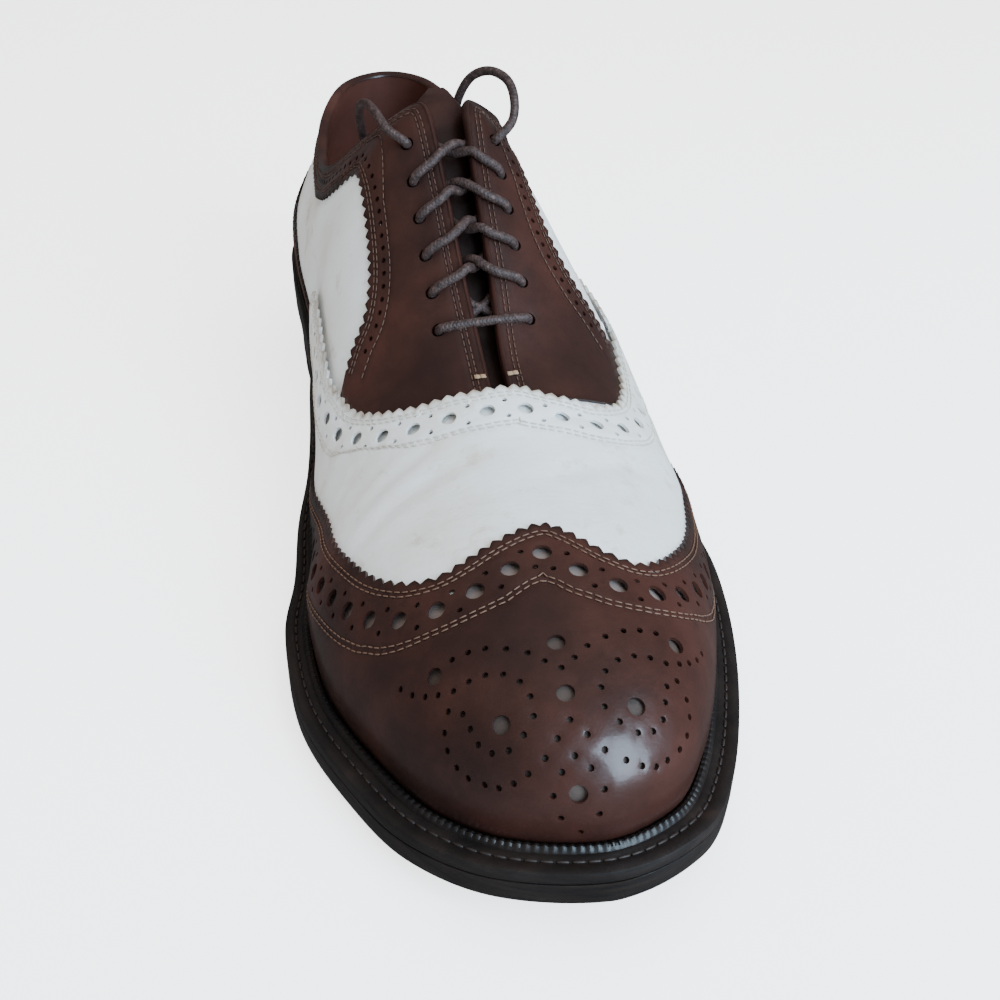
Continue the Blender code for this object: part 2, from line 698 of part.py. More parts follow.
def triangulate(outline, spacing):
    """Points and triangles that fill a closed flat outline, about that far apart."""
    closed = split_long(outline, spacing)
    low, high = np.min(closed, axis=0), np.max(closed, axis=0)
    filling = []
    for j, y in enumerate(np.arange(low[1], high[1], spacing * 0.87)):
        for x in np.arange(low[0] + (j % 2) * spacing / 2, high[0], spacing):
            near = min(math.hypot(x - a, y - b) for a, b in closed)
            if near > spacing * 0.6 and inside(closed, (x, y)):
                filling.append((x, y))
    spots = [Vector(p) for p in closed + filling]
    edges = [(k, (k + 1) % len(closed)) for k in range(len(closed))]
    found, _, triangles, *_ = delaunay_2d_cdt(spots, edges, [], 0, 1e-7)
    kept = [t for t in triangles if inside(closed, np.mean([found[k] for k in t], axis=0))]
    return found, kept


def overlay(name, found, kept, raise_up, finish):
    """An overlay on the upper: flat triangles raised onto its face, then given their thickness."""
    points = [raise_up(p) for p in found]
    mesh = bpy.data.meshes.new(name)
    mesh.from_pydata([tuple(float(v) for v in p) for p in points], [], kept)
    work = bmesh.new()
    work.from_mesh(mesh)
    bmesh.ops.delete(work, geom=[v for v in work.verts if not v.link_faces], context="VERTS")
    bmesh.ops.recalc_face_normals(work, faces=work.faces)
    highest = max(work.faces, key=lambda f: f.calc_center_median().z)
    if highest.normal.z < 0:
        bmesh.ops.reverse_faces(work, faces=work.faces)
    work.to_mesh(mesh)
    work.free()
    node = add_object(name, mesh, finish)
    thicken(node, OVERLAY_THICK, 1.0)
    return node


def mirrored(places):
    """The same outline on the inner side, in the other order."""
    return [(ROWS - row, share) for row, share in places[::-1]]


def foot_run(start, stop, step):
    """Places along the foot of the wall, between one row and another."""
    count = max(2, round(abs(stop - start) / step))
    return [(row, FOOT_SHARE) for row in np.linspace(start, stop, count + 1)[1:-1]]


def make_wing_cap(forme, finish):
    outer = [(row, max(share, FOOT_SHARE)) for row, share in WING_EDGE["outer"]]
    inner = mirrored([(row, max(share, FOOT_SHARE)) for row, share in WING_EDGE["inner"]])
    edge = smooth_run([forme.lay(*p) for p in outer], 2)[:-1] + smooth_run([forme.lay(*p) for p in inner], 2)
    bottom = [forme.lay(*p) for p in foot_run(inner[-1][0], outer[0][0], FOOT_STEP)]
    found, kept = triangulate(edge + bottom, CAP_SPACING)
    return overlay("wing_cap", found, kept, lambda p: forme.raise_up(p, OVERLAY_GAP), finish)


def off_face(row, t, height):
    return wall_point(row, t) + wall_normal(row, t) * height


def chart(places):
    """Places on the wall as a flat drawing in metres, row by row along it."""
    return [(row * ROW_SPAN, share * WALL_SPAN) for row, share in places]


def from_chart(point):
    """The point of an overlay's underside for a point of that drawing."""
    return off_face(point[0] / ROW_SPAN, point[1] / WALL_SPAN, OVERLAY_GAP)


def make_facing(name, side, punch, finish):
    """The facing with its collar band, from the vamp's edge to the back of the heel."""
    top = [(row, TOP_SHARE) for row in np.arange(BACK_SEAM, THROAT_ROW - FOOT_STEP, FOOT_STEP)]
    outline = list(FACING_EDGE[side]) + top + [(THROAT_ROW - THROAT_TACK, 0.96)]
    if side == "inner":
        outline = mirrored(outline)
    found, kept = triangulate(chart(outline), FACING_SPACING)
    facing = overlay(name, found, kept, from_chart, finish)
    cut(facing, punch)
    return facing


def make_counter(finish):
    """The heel counter, in one piece round the back."""
    side = [(row, max(share, FOOT_SHARE)) for row, share in COUNTER_EDGE]
    outer = [tuple(p) for p in smooth_run(side, 2)]
    inner = [(-row, share) for row, share in outer[::-1]]
    outline = inner[:-1] + outer + foot_run(outer[-1][0], -outer[-1][0], FOOT_STEP)
    found, kept = triangulate(chart(outline), COUNTER_SPACING)
    return overlay("heel_counter", found, kept, from_chart, finish)


def share_at(row, girth):
    """The share up the wall at that distance down it from its top."""
    handles = wall_handles(row)
    shares = np.linspace(1.0, 0.2, 161)
    curve = np.array([along_wall(handles, t) for t in shares])
    run = np.concatenate([[0.0], np.cumsum(np.linalg.norm(np.diff(curve, axis=0), axis=1))])
    return float(np.interp(girth, run, shares))


def slit_climb():
    """The unit direction from the throat up to the top of the facings."""
    low, high = top_point(THROAT_ROW), top_point(FACING_TOP_ROW)
    ramp = np.array([0.0, high[1] - low[1], high[2] - low[2]])
    return ramp / np.linalg.norm(ramp)


def make_tongue(finish):
    """The tongue, which follows the inside of the vamp and drops to leave room for the lace."""
    seat_depth = UPPER_WALL + 2 * SEAT_GAP + TONGUE_THICK / 2
    lace_depth = UPPER_WALL + 2 * LACE_RADIUS + 2 * LACE_CLEAR + TONGUE_THICK / 2
    rings = []
    for row in TONGUE_ROWS:
        drop = min(max((THROAT_ROW + 0.5 - row) / 0.9, 0.0), 1.0)
        depth = seat_depth + (lace_depth - seat_depth) * drop
        girths = [TONGUE_HALF_WIDTH * share for share in (1.0, 0.72, 0.40, 0.08)]
        rings.append([])
        for height in (TONGUE_THICK / 2 - depth, -TONGUE_THICK / 2 - depth):
            outer = [off_face(row, share_at(row, girth), height) for girth in girths]
            inner = [off_face(ROWS - row, share_at(ROWS - row, girth), height) for girth in girths]
            run = outer + inner[::-1]
            rings[-1] += run if height > -depth else run[::-1]
    last = rings[-1]
    middle = np.mean(last, axis=0)
    for share, narrow in ((0.45, 0.97), (0.8, 0.88), (1.0, 0.72)):
        climb = slit_climb() * TONGUE_ABOVE_FACING * share
        rings.append([np.array([middle[0] + (p[0] - middle[0]) * narrow, p[1], p[2]]) + climb for p in last])
    points, faces = closed_rings(rings)
    return add_object("tongue", mesh_from("tongue", points, faces), finish)


def lace_curve(name, run, finish):
    """A round lace along a line of points."""
    curve = bpy.data.curves.new(name, "CURVE")
    curve.dimensions = "3D"
    curve.bevel_depth = LACE_RADIUS
    curve.bevel_resolution = 2
    curve.use_fill_caps = True
    spline = curve.splines.new("POLY")
    spline.points.add(len(run) - 1)
    for spot, place in zip(spline.points, run):
        spot.co = (*[float(v) for v in place], 1.0)
    node = bpy.data.objects.new(name, curve)
    curve.materials.append(finish)
    bpy.context.scene.collection.objects.link(node)
    return node


def lace_height():
    """How far the middle of the lace lies off the upper's face where it crosses a facing."""
    return OVERLAY_GAP + OVERLAY_THICK + LACE_RADIUS + LACE_CLEAR


def above_eyelets(places, side):
    """Where the lace lies over each eyelet of one side."""
    return [off_face(row, t, lace_height()) for row, t in places[side]]


def over_edge(start, end, share):
    """Where a stretch of lace passes over the slit's edge of the side that share lies nearer to."""
    near, far = (start, end) if share < 0.5 else (end, start)
    share = min(share, 1.0 - share)
    shift = (ROWS - far[0] if (near[0] > ROWS / 2) != (far[0] > ROWS / 2) else far[0]) - near[0]
    row = near[0] + shift * share
    return off_face(row, share_at(row, LACE_RADIUS), lace_height())


def lace_strand(places, first, second, with_bar):
    """One half of the lace, over the facings from side to side up to the top, starting with the bar or not."""
    stops = [places[(first, second)[k % 2]][k] for k in range(LACE_ROWS)]
    route = [off_face(*stops[0], lace_height())]
    if with_bar:
        far = places[second][0]
        bar = [over_edge(far, stops[0], share) for share in (0.3, 0.7)]
        route = [off_face(*far, lace_height()), *bar, *route]
    for start, end in zip(stops, stops[1:]):
        route += [over_edge(start, end, 0.3), over_edge(start, end, 0.7), off_face(*end, lace_height())]
    return route


def make_crossings(places, finish):
    """The bar and the crossings, both halves of the lace joined where they meet."""
    halves = []
    parts = ("lace_crossings", "outer", "inner"), ("lace_other_half", "inner", "outer")
    for name, first, second in parts:
        node = lace_curve(name, lace_strand(places, first, second, name == "lace_crossings"), finish)
        bpy.context.view_layer.update()
        mesh = bpy.data.meshes.new_from_object(node.evaluated_get(bpy.context.evaluated_depsgraph_get()))
        bpy.data.objects.remove(node, do_unlink=True)
        work = bmesh.new()
        work.from_mesh(mesh)
        bmesh.ops.remove_doubles(work, verts=work.verts, dist=1e-6)
        bmesh.ops.recalc_face_normals(work, faces=work.faces)
        work.to_mesh(mesh)
        work.free()
        mesh.materials.clear()
        halves.append(add_object(name, mesh, finish))
    joined, other = halves
    join = joined.modifiers.new("join", "BOOLEAN")
    join.operation = "UNION"
    join.solver = "EXACT"
    join.object = other
    other.hide_render = True
    other.display_type = "WIRE"
    return joined


def make_lace_ends(places, finish):
    """Each end goes on from its top eyelet, over the corner of the facing, and drops inside the shoe."""
    halves = {"inner": ("outer", "inner"), "outer": ("inner", "outer")}
    for side, (first, second) in halves.items():
        before, last = lace_strand(places, first, second, False)[-2:]
        ahead = (last - before) / np.linalg.norm(last - before)
        start = [last + ahead * 2 * SEAT_GAP, last + ahead * 2 * LACE_RADIUS]
        route = start + [last + np.array(step) for step in LACE_END_STEPS[side]]
        lace_curve(f"lace_end_{side}", smooth_run(route, 2), finish)


def main():
    clear_scene()
    brown = material("brown_calf", (0.118, 0.034, 0.020), 0.28)
    white = material("white_calf", (0.80, 0.78, 0.72), 0.48)
    dark_edge = material("dark_edge_leather", (0.022, 0.014, 0.011), 0.50)
    sole_leather = material("sole_leather", (0.26, 0.14, 0.07), 0.55)
    rubber = material("black_rubber", (0.012, 0.012, 0.012), 0.70)
    tan = material("tan_lining", (0.33, 0.17, 0.09), 0.60)
    waxed = material("waxed_cotton", (0.045, 0.028, 0.024), 0.65)
    forme = Forme()
    make_outsole(dark_edge)
    make_welt(dark_edge)
    make_insole(tan)
    heel_block("heel_stack", lambda y: TOP_PIECE_THICK + SEAT_GAP, lambda y: arch_height(y) - SEAT_GAP,
               HEEL_TAPER, HEEL_INSET, dark_edge)
    heel_block("heel_top_piece", lambda y: 0.0, lambda y: TOP_PIECE_THICK, HEEL_TAPER, HEEL_TAPER, rubber)
    places = eyelet_places()
    punch = eyelet_punch(places)
    make_upper(punch, white)
    make_wing_cap(forme, brown)
    make_facing("facing_outer", "outer", punch, brown)
    make_facing("facing_inner", "inner", punch, brown)
    make_counter(brown)
    make_tongue(brown)
    make_crossings(places, waxed)
    make_lace_ends(places, waxed)


main()
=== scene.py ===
"""Spectator shoe, right foot: the looks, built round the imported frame.

Metres, +Z up. The toe points along -Y and the inner side of the foot is at +X. Sizes in mm carry MM.
"""

import math

import bpy
import numpy as np
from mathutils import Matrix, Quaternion, Vector
from mathutils.bvhtree import BVHTree
from mathutils.geometry import delaunay_2d_cdt
from mathutils.kdtree import KDTree


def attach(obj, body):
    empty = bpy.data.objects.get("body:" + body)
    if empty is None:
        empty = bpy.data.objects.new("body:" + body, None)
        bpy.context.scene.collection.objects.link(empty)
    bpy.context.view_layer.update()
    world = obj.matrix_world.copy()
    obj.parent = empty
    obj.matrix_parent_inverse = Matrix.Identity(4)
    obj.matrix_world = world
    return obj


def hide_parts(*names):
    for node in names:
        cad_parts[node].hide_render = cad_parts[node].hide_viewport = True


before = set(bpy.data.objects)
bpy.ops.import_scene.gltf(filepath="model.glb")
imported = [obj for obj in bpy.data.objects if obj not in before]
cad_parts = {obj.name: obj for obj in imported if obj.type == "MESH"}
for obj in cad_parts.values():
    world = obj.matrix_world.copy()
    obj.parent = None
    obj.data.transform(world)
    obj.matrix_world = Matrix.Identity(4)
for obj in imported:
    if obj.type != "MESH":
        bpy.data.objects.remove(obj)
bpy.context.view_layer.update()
MM = 0.001

# Outsole
# The leather bottom of the shoe, about 5.6 mm thick, cut to the last's outline with its arch and toe spring.
# Its sides are trimmed, dyed and waxed dark; its tread, bare leather worn under the ball, has the same dark
# material here.

SOLE_LENGTH = 0.304
BALL_HALF_WIDTH = 0.058
OUTSOLE_THICK = 0.0056
HEEL_SEAT_RISE = 0.0245
TOE_SPRING = 0.0095
SEAT_GAP = 0.0003
SOLE_STATIONS = 170
SOLE_EDGE_ROUND = 1.1 * MM
SOLE_TOP_EDGE = 0.22 * MM
TIP_GAP = 0.04 * MM

# The outsole's underside from the side, in percent: along from the heel, of the heel's rise and of the toe
# spring.
ARCH = np.array((
    (0, 100, 0), (13, 97, 0), (26, 88, 0), (38, 60, 0), (51, 24, 0),
    (62, 2.5, 0), (66, 0, 0), (78, 0, 0), (90, 0, 31), (100, 0, 100),
), float)

# The last, one row for each place round the sole, in percent of the shoe's own sizes. Row 0 is the middle of
# the heel, rows 1 to 15 run along the outer side, row 16 is the toe and rows 17 to 31 the inner side.
LAST_COLUMNS = (
    "along", "across", "welt", "top_along", "top_across", "height", "bulge", "rise", "crown", "drop", "tilt",
)
LAST = np.array((
    (0.0, -2.6, 32, 3.0, 1.0, 78.5, 10.5, 30, 6.0, 30, 0),
    (3.0, -41.0, 32, 5.6, -24.0, 77.4, 10.5, 30, 6.0, 30, 0),
    (10.5, -63.0, 32, 12.6, -40.0, 73.6, 8.5, 33, 5.0, 33, 0),
    (19.7, -67.2, 33, 21.6, -47.0, 70.0, 7.0, 36, 4.0, 33, 0),
    (27.6, -66.6, 35, 29.5, -44.0, 75.5, 7.0, 40, 12.0, 26, 0),
    (34.5, -66.7, 42, 35.6, -27.0, 89.5, 7.0, 42, 22.0, 14, 0),
    (40.1, -70.0, 44, 39.2, -5.0, 99.6, 10.0, 45, 29.0, 7, 0),
    (45.4, -73.0, 48, 45.1, -1.0, 86.8, 11.0, 45, 32.0, 4, 0),
    (50.7, -77.5, 58, 52.1, 1.6, 70.4, 12.0, 45, 34.0, 2, 0),
    (56.6, -85.0, 70, 59.9, 4.8, 54.8, 11.5, 46, 35.0, 0, 32),
    (63.2, -90.0, 80, 66.2, 4.3, 49.6, 8.5, 50, 38.0, 0, 21),
    (69.7, -97.0, 86, 72.4, 3.1, 47.0, 8.5, 53, 42.0, 0, 12),
    (78.3, -95.5, 90, 79.4, 1.7, 45.2, 8.5, 56, 43.0, 0, 10),
    (86.2, -82.4, 94, 86.2, 0.9, 42.8, 8.5, 60, 43.0, 0, 14),
    (93.1, -64.5, 97, 86.2, 0.9, 42.8, 8.5, 62, 43.0, 0, 14),
    (97.9, -38.0, 100, 86.2, 0.9, 42.8, 8.5, 62, 43.0, 0, 14),
    (100.0, 1.0, 100, 86.2, 0.9, 42.8, 8.5, 62, 43.0, 0, 14),
    (97.7, 35.0, 100, 86.2, 0.9, 42.8, 8.5, 62, 43.0, 0, 14),
    (93.1, 55.0, 97, 86.2, 0.9, 42.8, 8.5, 62, 43.0, 0, 14),
    (86.2, 73.0, 94, 86.2, 0.9, 42.8, 8.5, 60, 43.0, 0, 14),
    (78.3, 88.0, 90, 79.4, 1.7, 45.2, 8.5, 56, 43.0, 0, 10),
    (70.1, 97.5, 86, 72.4, 3.1, 47.0, 8.5, 53, 43.0, 0, 12),
    (63.5, 99.0, 80, 66.2, 4.3, 49.6, 14.0, 52, 45.0, 0, 21),
    (56.9, 94.0, 70, 59.9, 4.8, 54.8, 19.0, 50, 46.0, 0, 32),
    (51.0, 84.0, 58, 52.1, 8.0, 70.4, 21.0, 50, 44.0, 2, 0),
    (45.7, 73.0, 48, 45.1, 10.0, 86.8, 18.0, 50, 34.0, 4, 0),
    (40.1, 63.5, 44, 39.2, 13.2, 99.6, 13.0, 46, 21.0, 7, 0),
    (34.5, 57.0, 42, 35.6, 32.0, 91.5, 9.5, 43, 11.0, 14, 0),
    (27.6, 55.0, 35, 29.5, 40.0, 78.5, 7.0, 40, 10.0, 26, 0),
    (19.7, 58.0, 33, 21.6, 42.0, 72.0, 7.0, 36, 4.0, 33, 0),
    (10.5, 56.0, 32, 12.6, 37.0, 74.6, 8.5, 33, 5.0, 33, 0),
    (3.0, 36.0, 32, 5.6, 24.0, 77.8, 10.5, 30, 6.0, 30, 0),
), float) / 100.0
ROWS = len(LAST)
TOE_ROW = 16
THROAT_ROW = 9
FACING_TOP_ROW = 6


def monotone(before, here, after):
    """Slopes of a curve through even steps that never overshoots them."""
    low, high = here - before, after - here
    with np.errstate(divide="ignore", invalid="ignore"):
        slope = 2.0 / (1.0 / low + 1.0 / high)
    return np.where(low * high <= 0, 0.0, np.nan_to_num(slope))


def hermite(start, end, slope_in, slope_out, share):
    s2, s3 = share * share, share ** 3
    return (start * (2 * s3 - 3 * s2 + 1) + slope_in * (s3 - 2 * s2 + share)
            + end * (3 * s2 - 2 * s3) + slope_out * (s3 - s2))


def last_value(column, rows):
    """One column of the last at any places round the sole."""
    rows = np.asarray(rows, float)
    values = LAST[:, LAST_COLUMNS.index(column)]
    low = np.floor(rows).astype(int)
    before, start, end, after = (values[(low + k) % ROWS] for k in (-1, 0, 1, 2))
    smooth = np.full(rows.shape, column in ("along", "across"))
    if column in ("top_along", "top_across", "height"):
        smooth = np.minimum(rows % ROWS, ROWS - rows % ROWS) < FACING_TOP_ROW - 1
    slope_in = np.where(smooth, (end - before) / 2, monotone(before, start, end))
    slope_out = np.where(smooth, (after - start) / 2, monotone(start, end, after))
    return hermite(start, end, slope_in, slope_out, rows - low)


def arch_height(y):
    """Height of the outsole's underside at places along the shoe."""
    along = np.clip(100.0 * (0.5 - np.asarray(y, float) / SOLE_LENGTH), 0, 100)
    stations = ARCH[:, 0]
    heights = (ARCH[:, 1] * HEEL_SEAT_RISE + ARCH[:, 2] * TOE_SPRING) / 100.0
    steps = np.diff(heights) / np.diff(stations)
    slopes = np.zeros(len(stations))
    slopes[0], slopes[-1] = steps[0], steps[-1]
    both = steps[:-1] * steps[1:] > 0
    slopes[1:-1][both] = 2.0 / (1.0 / steps[:-1][both] + 1.0 / steps[1:][both])
    k = np.clip(np.searchsorted(stations, along, side="left") - 1, 0, len(stations) - 2)
    width = stations[k + 1] - stations[k]
    share = np.clip((along - stations[k]) / width, 0, 1)
    return hermite(heights[k], heights[k + 1], slopes[k] * width, slopes[k + 1] * width, share)


def outsole_top(y):
    return arch_height(y) + OUTSOLE_THICK


def edge_points(rows, inset=0.0):
    """The sole's outline in plan, moved that far inwards, with the outward direction at each place."""
    def outline(at):
        return np.stack([last_value("across", at) * BALL_HALF_WIDTH,
                         (0.5 - last_value("along", at)) * SOLE_LENGTH], axis=-1)
    rows = np.asarray(rows, float)
    run = outline(rows + 0.02) - outline(rows - 0.02)
    run /= np.linalg.norm(run, axis=-1, keepdims=True)
    out = np.stack([run[..., 1], -run[..., 0]], axis=-1)
    return outline(rows) - out * np.asarray(inset)[..., None], out


def srgb(code):
    """A colour written as sRGB hex, made linear."""
    parts = [int(code[k:k + 2], 16) / 255 for k in (1, 3, 5)]
    return tuple(p / 12.92 if p <= 0.04045 else ((p + 0.055) / 1.055) ** 2.4 for p in parts) + (1.0,)


def tones(*stops):
    """Stops of a colour ramp, their colours written as sRGB hex."""
    return tuple((at, srgb(code)) for at, code in stops)


def node(material, kind, links=None, stops=(), **settings):
    """Adds a shader node with its settings and links and, on a colour ramp, its (place, colour) stops."""
    tree = material.node_tree
    made = tree.nodes.new(kind)
    for name, value in settings.items():
        if hasattr(made, name):
            setattr(made, name, value)
        else:
            made.inputs[name.replace("_", " ")].default_value = value
    for socket, source in (links or {}).items():
        tree.links.new(source, made.inputs[socket])
    while stops and len(made.color_ramp.elements) < len(stops):
        made.color_ramp.elements.new(0.5)
    for k, (at, colour) in enumerate(stops):
        made.color_ramp.elements[k].position = at
        made.color_ramp.elements[k].color = colour
    return made


def link(material, source, shader, socket):
    material.node_tree.links.new(source, shader.inputs[socket])


def new_material(name):
    """A material with an empty tree, its Principled shader and the object's own coordinates."""
    made = bpy.data.materials.new(name)
    made.use_nodes = True
    shader = made.node_tree.nodes["Principled BSDF"]
    place = node(made, "ShaderNodeTexCoord").outputs["Object"]
    return made, shader, place


def grey(value):
    return (value, value, value, 1.0)


def new_piece(name, points, faces, material, slot, *replaced, angle=35):
    """A finished mesh piece: smooth but for its sharp edges, riding on the shoe."""
    mesh = bpy.data.meshes.new(name)
    mesh.from_pydata([tuple(map(float, p)) for p in points], [], [tuple(map(int, f)) for f in faces])
    mesh.validate()
    piece = bpy.data.objects.new(name, mesh)
    bpy.context.scene.collection.objects.link(piece)
    return finish_piece(piece, material, slot, *replaced, angle=angle)


def select_only(piece):
    bpy.ops.object.select_all(action="DESELECT")
    piece.select_set(True)
    bpy.context.view_layer.objects.active = piece


def finish_piece(piece, material, slot, *replaced, angle=35):
    piece.data.materials.clear()
    piece.data.materials.append(material)
    select_only(piece)
    bpy.ops.object.shade_smooth_by_angle(angle=math.radians(angle))
    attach(piece, "root")
    if replaced:
        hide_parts(*replaced)
    return piece


def turn_out(piece, merge=1e-6):
    """Merges doubles and turns the faces outwards, in edit mode."""
    select_only(piece)
    bpy.ops.object.mode_set(mode="EDIT")
    bpy.ops.mesh.select_all(action="SELECT")
    bpy.ops.mesh.remove_doubles(threshold=merge)
    bpy.ops.mesh.normals_make_consistent(inside=False)
    bpy.ops.object.mode_set(mode="OBJECT")


def ring_faces(count, size, round_and_round=False, capped=False):
    """Faces between rings of points, each ring closed."""
    faces = []
    for k in range(count if round_and_round else count - 1):
        a, b = k * size, (k + 1) % count * size
        faces += [(a + i, a + (i + 1) % size, b + (i + 1) % size, b + i) for i in range(size)]
    if capped:
        faces.append(tuple(range(size))[::-1])
        faces.append(tuple((count - 1) * size + i for i in range(size)))
    return faces


def sole_sides(inset, count=1500):
    """The outline as two runs of X against Y, from the toe to the heel."""
    sides = []
    for start, stop in ((0.0, TOE_ROW), (ROWS, TOE_ROW)):
        run, _ = edge_points(np.linspace(start, stop, count), inset)
        sides.append(run[np.argsort(run[:, 1])])
    return sides


EDGE_CLOUD = 26.316 * MM
EDGE_GRAIN = 1.4286 * MM
EDGE_LAYERS = (16.667 * MM, 16.667 * MM, 1.1111 * MM)


def edge_leather(name, wear):
    """Sole leather, trimmed, dyed dark and waxed: satin, with rubbed brown places and scratches."""
    made, shader, place = new_material(name)
    cloud = node(made, "ShaderNodeTexNoise", {"Vector": place}, Scale=1 / EDGE_CLOUD, Detail=6.0,
                 Roughness=0.65)
    stretch = node(made, "ShaderNodeMapping", {"Vector": place},
                   Scale=tuple(1 / size for size in EDGE_LAYERS))
    layers = node(made, "ShaderNodeTexNoise", {"Vector": stretch.outputs[0]}, Scale=1.0, Detail=4.0)
    dark = node(made, "ShaderNodeValToRGB", {"Fac": cloud.outputs[0]},
                tones((0.35, "#0f0c0b"), (0.58, "#1d1613"), (0.82, "#3d2c25")))
    darkening = node(made, "ShaderNodeValToRGB", {"Fac": layers.outputs[0]},
                tones((0.35, "#0e0b0a"), (0.75, "#35271f")))
    mix = node(made, "ShaderNodeMix", data_type="RGBA", Factor=wear)
    link(made, dark.outputs["Color"], mix, "A")
    link(made, darkening.outputs["Color"], mix, "B")
    link(made, mix.outputs["Result"], shader, "Base Color")
    dull = node(made, "ShaderNodeValToRGB", {"Fac": cloud.outputs[0]}, ((0.3, grey(0.42)), (0.8, grey(0.66))))
    link(made, dull.outputs["Color"], shader, "Roughness")
    grain = node(made, "ShaderNodeTexNoise", {"Vector": place}, Scale=1 / EDGE_GRAIN, Detail=3.0)
    relief = node(made, "ShaderNodeBump", {"Height": layers.outputs[0]}, Strength=0.5, Distance=0.35 * MM)
    relief = node(made, "ShaderNodeBump", {"Height": grain.outputs[0], "Normal": relief.outputs[0]},
                  Strength=0.45, Distance=0.16 * MM)
    link(made, relief.outputs[0], shader, "Normal")
    shader.inputs["Coat Weight"].default_value = 0.15
    shader.inputs["Coat Roughness"].default_value = 0.35
    return made


dressed_edge = edge_leather("edge_dressed_sole_leather", 0.45)
sides = sole_sides(0.0)
first = max(sides[0][0, 1], sides[1][0, 1]) + TIP_GAP
last = min(sides[0][-1, 1], sides[1][-1, 1]) - TIP_GAP
places = (first + last) / 2 - (last - first) / 2 * np.cos(np.linspace(0, math.pi, SOLE_STATIONS))
quarter = np.linspace(0, math.pi / 2, 4)
points = []
for y in places:
    left, right = (float(np.interp(y, side[:, 1], side[:, 0])) for side in sides)
    low, high = float(arch_height(y)), float(outsole_top(y))
    soft = min(SOLE_EDGE_ROUND, (right - left) / 5)
    section = [(left + soft - soft * math.sin(a), low + soft - soft * math.cos(a)) for a in quarter]
    fine = min(SOLE_TOP_EDGE, soft)
    section += [(left + fine - fine * math.cos(a), high - fine + fine * math.sin(a)) for a in quarter]
    inner = [(left + soft + (right - left - 2 * soft) * s, high) for s in np.linspace(0, 1, 9)[1:-1]]
    back = [(left + right - x, z) for x, z in section[::-1]]
    under = [(x, low) for x, _ in inner[::-1]]
    points += [(x, y, z) for x, z in section + inner + back + under]
size = len(points) // SOLE_STATIONS
outsole = new_piece("outsole_leather", points, ring_faces(SOLE_STATIONS, size, capped=True),
                    dressed_edge, "dark_edge_leather", "outsole")
turn_out(outsole)

# Heel
# A stack of leather lifts nailed together, trimmed and dyed with the sole, its top lift cut to the arch, over
# a black rubber top piece that takes the wear. The lifts' joints show as fine dark lines.

HEEL_LENGTH = 0.076
HEEL_TAPER = 0.0016
HEEL_INSET = 0.0004
HEEL_BREAST_HOLLOW = 0.006
TOP_PIECE_THICK = 0.006
LIFTS = 3
LIFT_THICK = 4.5 * MM
LIFT_GROOVE = 0.25 * MM
RUBBER_GROOVE = 0.4 * MM


def heel_outline(inset):
    """The heel in plan: the sole's outline at the back, and a hollow breast across the front."""
    sides = sole_sides(inset)
    front = (0.5 - HEEL_LENGTH / SOLE_LENGTH) * SOLE_LENGTH
    back = min(sides[0][-1, 1], sides[1][-1, 1]) - TIP_GAP
    along = front + (back - front) * np.sin(np.linspace(0, math.pi / 2, 48))
    left = [(np.interp(y, sides[0][:, 1], sides[0][:, 0]), y) for y in along]
    right = [(np.interp(y, sides[1][:, 1], sides[1][:, 0]), y) for y in along[::-1]]
    middle, half = (left[0][0] + right[-1][0]) / 2, (right[-1][0] - left[0][0]) / 2
    across = np.linspace(1, -1, 17)[1:-1]
    breast = [(middle + half * s, front + HEEL_BREAST_HOLLOW * (1 - s * s)) for s in across]
    return np.array(left + right + breast)


def heel_slab(name, low, high, inset_low, inset_high, groove, material, slot, *replaced):
    """A slab of the heel between two heights, with its upper and lower edge eased."""
    rings = []
    for inset, level, into in ((inset_low, low, groove), (inset_low, low, 0), (inset_high, high, 0),
                               (inset_high, high, groove)):
        outline = heel_outline(inset + into)
        ease = (0 if into else groove) * (1 if level is low else -1)
        rings += [(x, y, float(level(y)) + ease) for x, y in outline]
    slab = new_piece(name, rings, ring_faces(4, len(rings) // 4, capped=True), material, slot, *replaced,
                     angle=50)
    turn_out(slab)
    return slab


stack_low = TOP_PIECE_THICK + SEAT_GAP
for number in range(LIFTS):
    low = stack_low + number * LIFT_THICK
    high = low + LIFT_THICK
    shares = [(z - stack_low) / (HEEL_SEAT_RISE - stack_low) for z in (low, high)]
    insets = [HEEL_TAPER + (HEEL_INSET - HEEL_TAPER) * s for s in shares]
    uppermost = number == LIFTS - 1
    top = (lambda y: arch_height(y) - SEAT_GAP) if uppermost else (lambda y, z=high: z)
    if uppermost:
        insets[1] = HEEL_INSET
    heel_slab(f"heel_lift_{number + 1}", lambda y, z=low: z, top, *insets, LIFT_GROOVE,
                           dressed_edge, "dark_edge_leather")
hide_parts("heel_stack")

# Vulcanised rubber, moulded: near black and matt, with a fine greyer speckle.
RUBBER_SPECK = 4.5455 * MM
heel_rubber, shader, place = new_material("vulcanised_heel_rubber")
speck = node(heel_rubber, "ShaderNodeTexNoise", {"Vector": place}, Scale=1 / RUBBER_SPECK, Detail=5.0)
tone = node(heel_rubber, "ShaderNodeValToRGB", {"Fac": speck.outputs[0]},
            tones((0.3, "#151413"), (0.8, "#2e2b29")))
link(heel_rubber, tone.outputs["Color"], shader, "Base Color")
relief = node(heel_rubber, "ShaderNodeBump", {"Height": speck.outputs[0]}, Strength=0.3, Distance=0.2 * MM)
link(heel_rubber, relief.outputs[0], shader, "Normal")
shader.inputs["Roughness"].default_value = 0.72
heel_slab("heel_rubber", lambda y: 0.0, lambda y: TOP_PIECE_THICK, HEEL_TAPER, HEEL_TAPER, RUBBER_GROOVE,
          heel_rubber, "rubber", "heel_top_piece")

# Insole
# The leather insole under the foot, tan and polished by wear. The frame's own insole has the right shape.

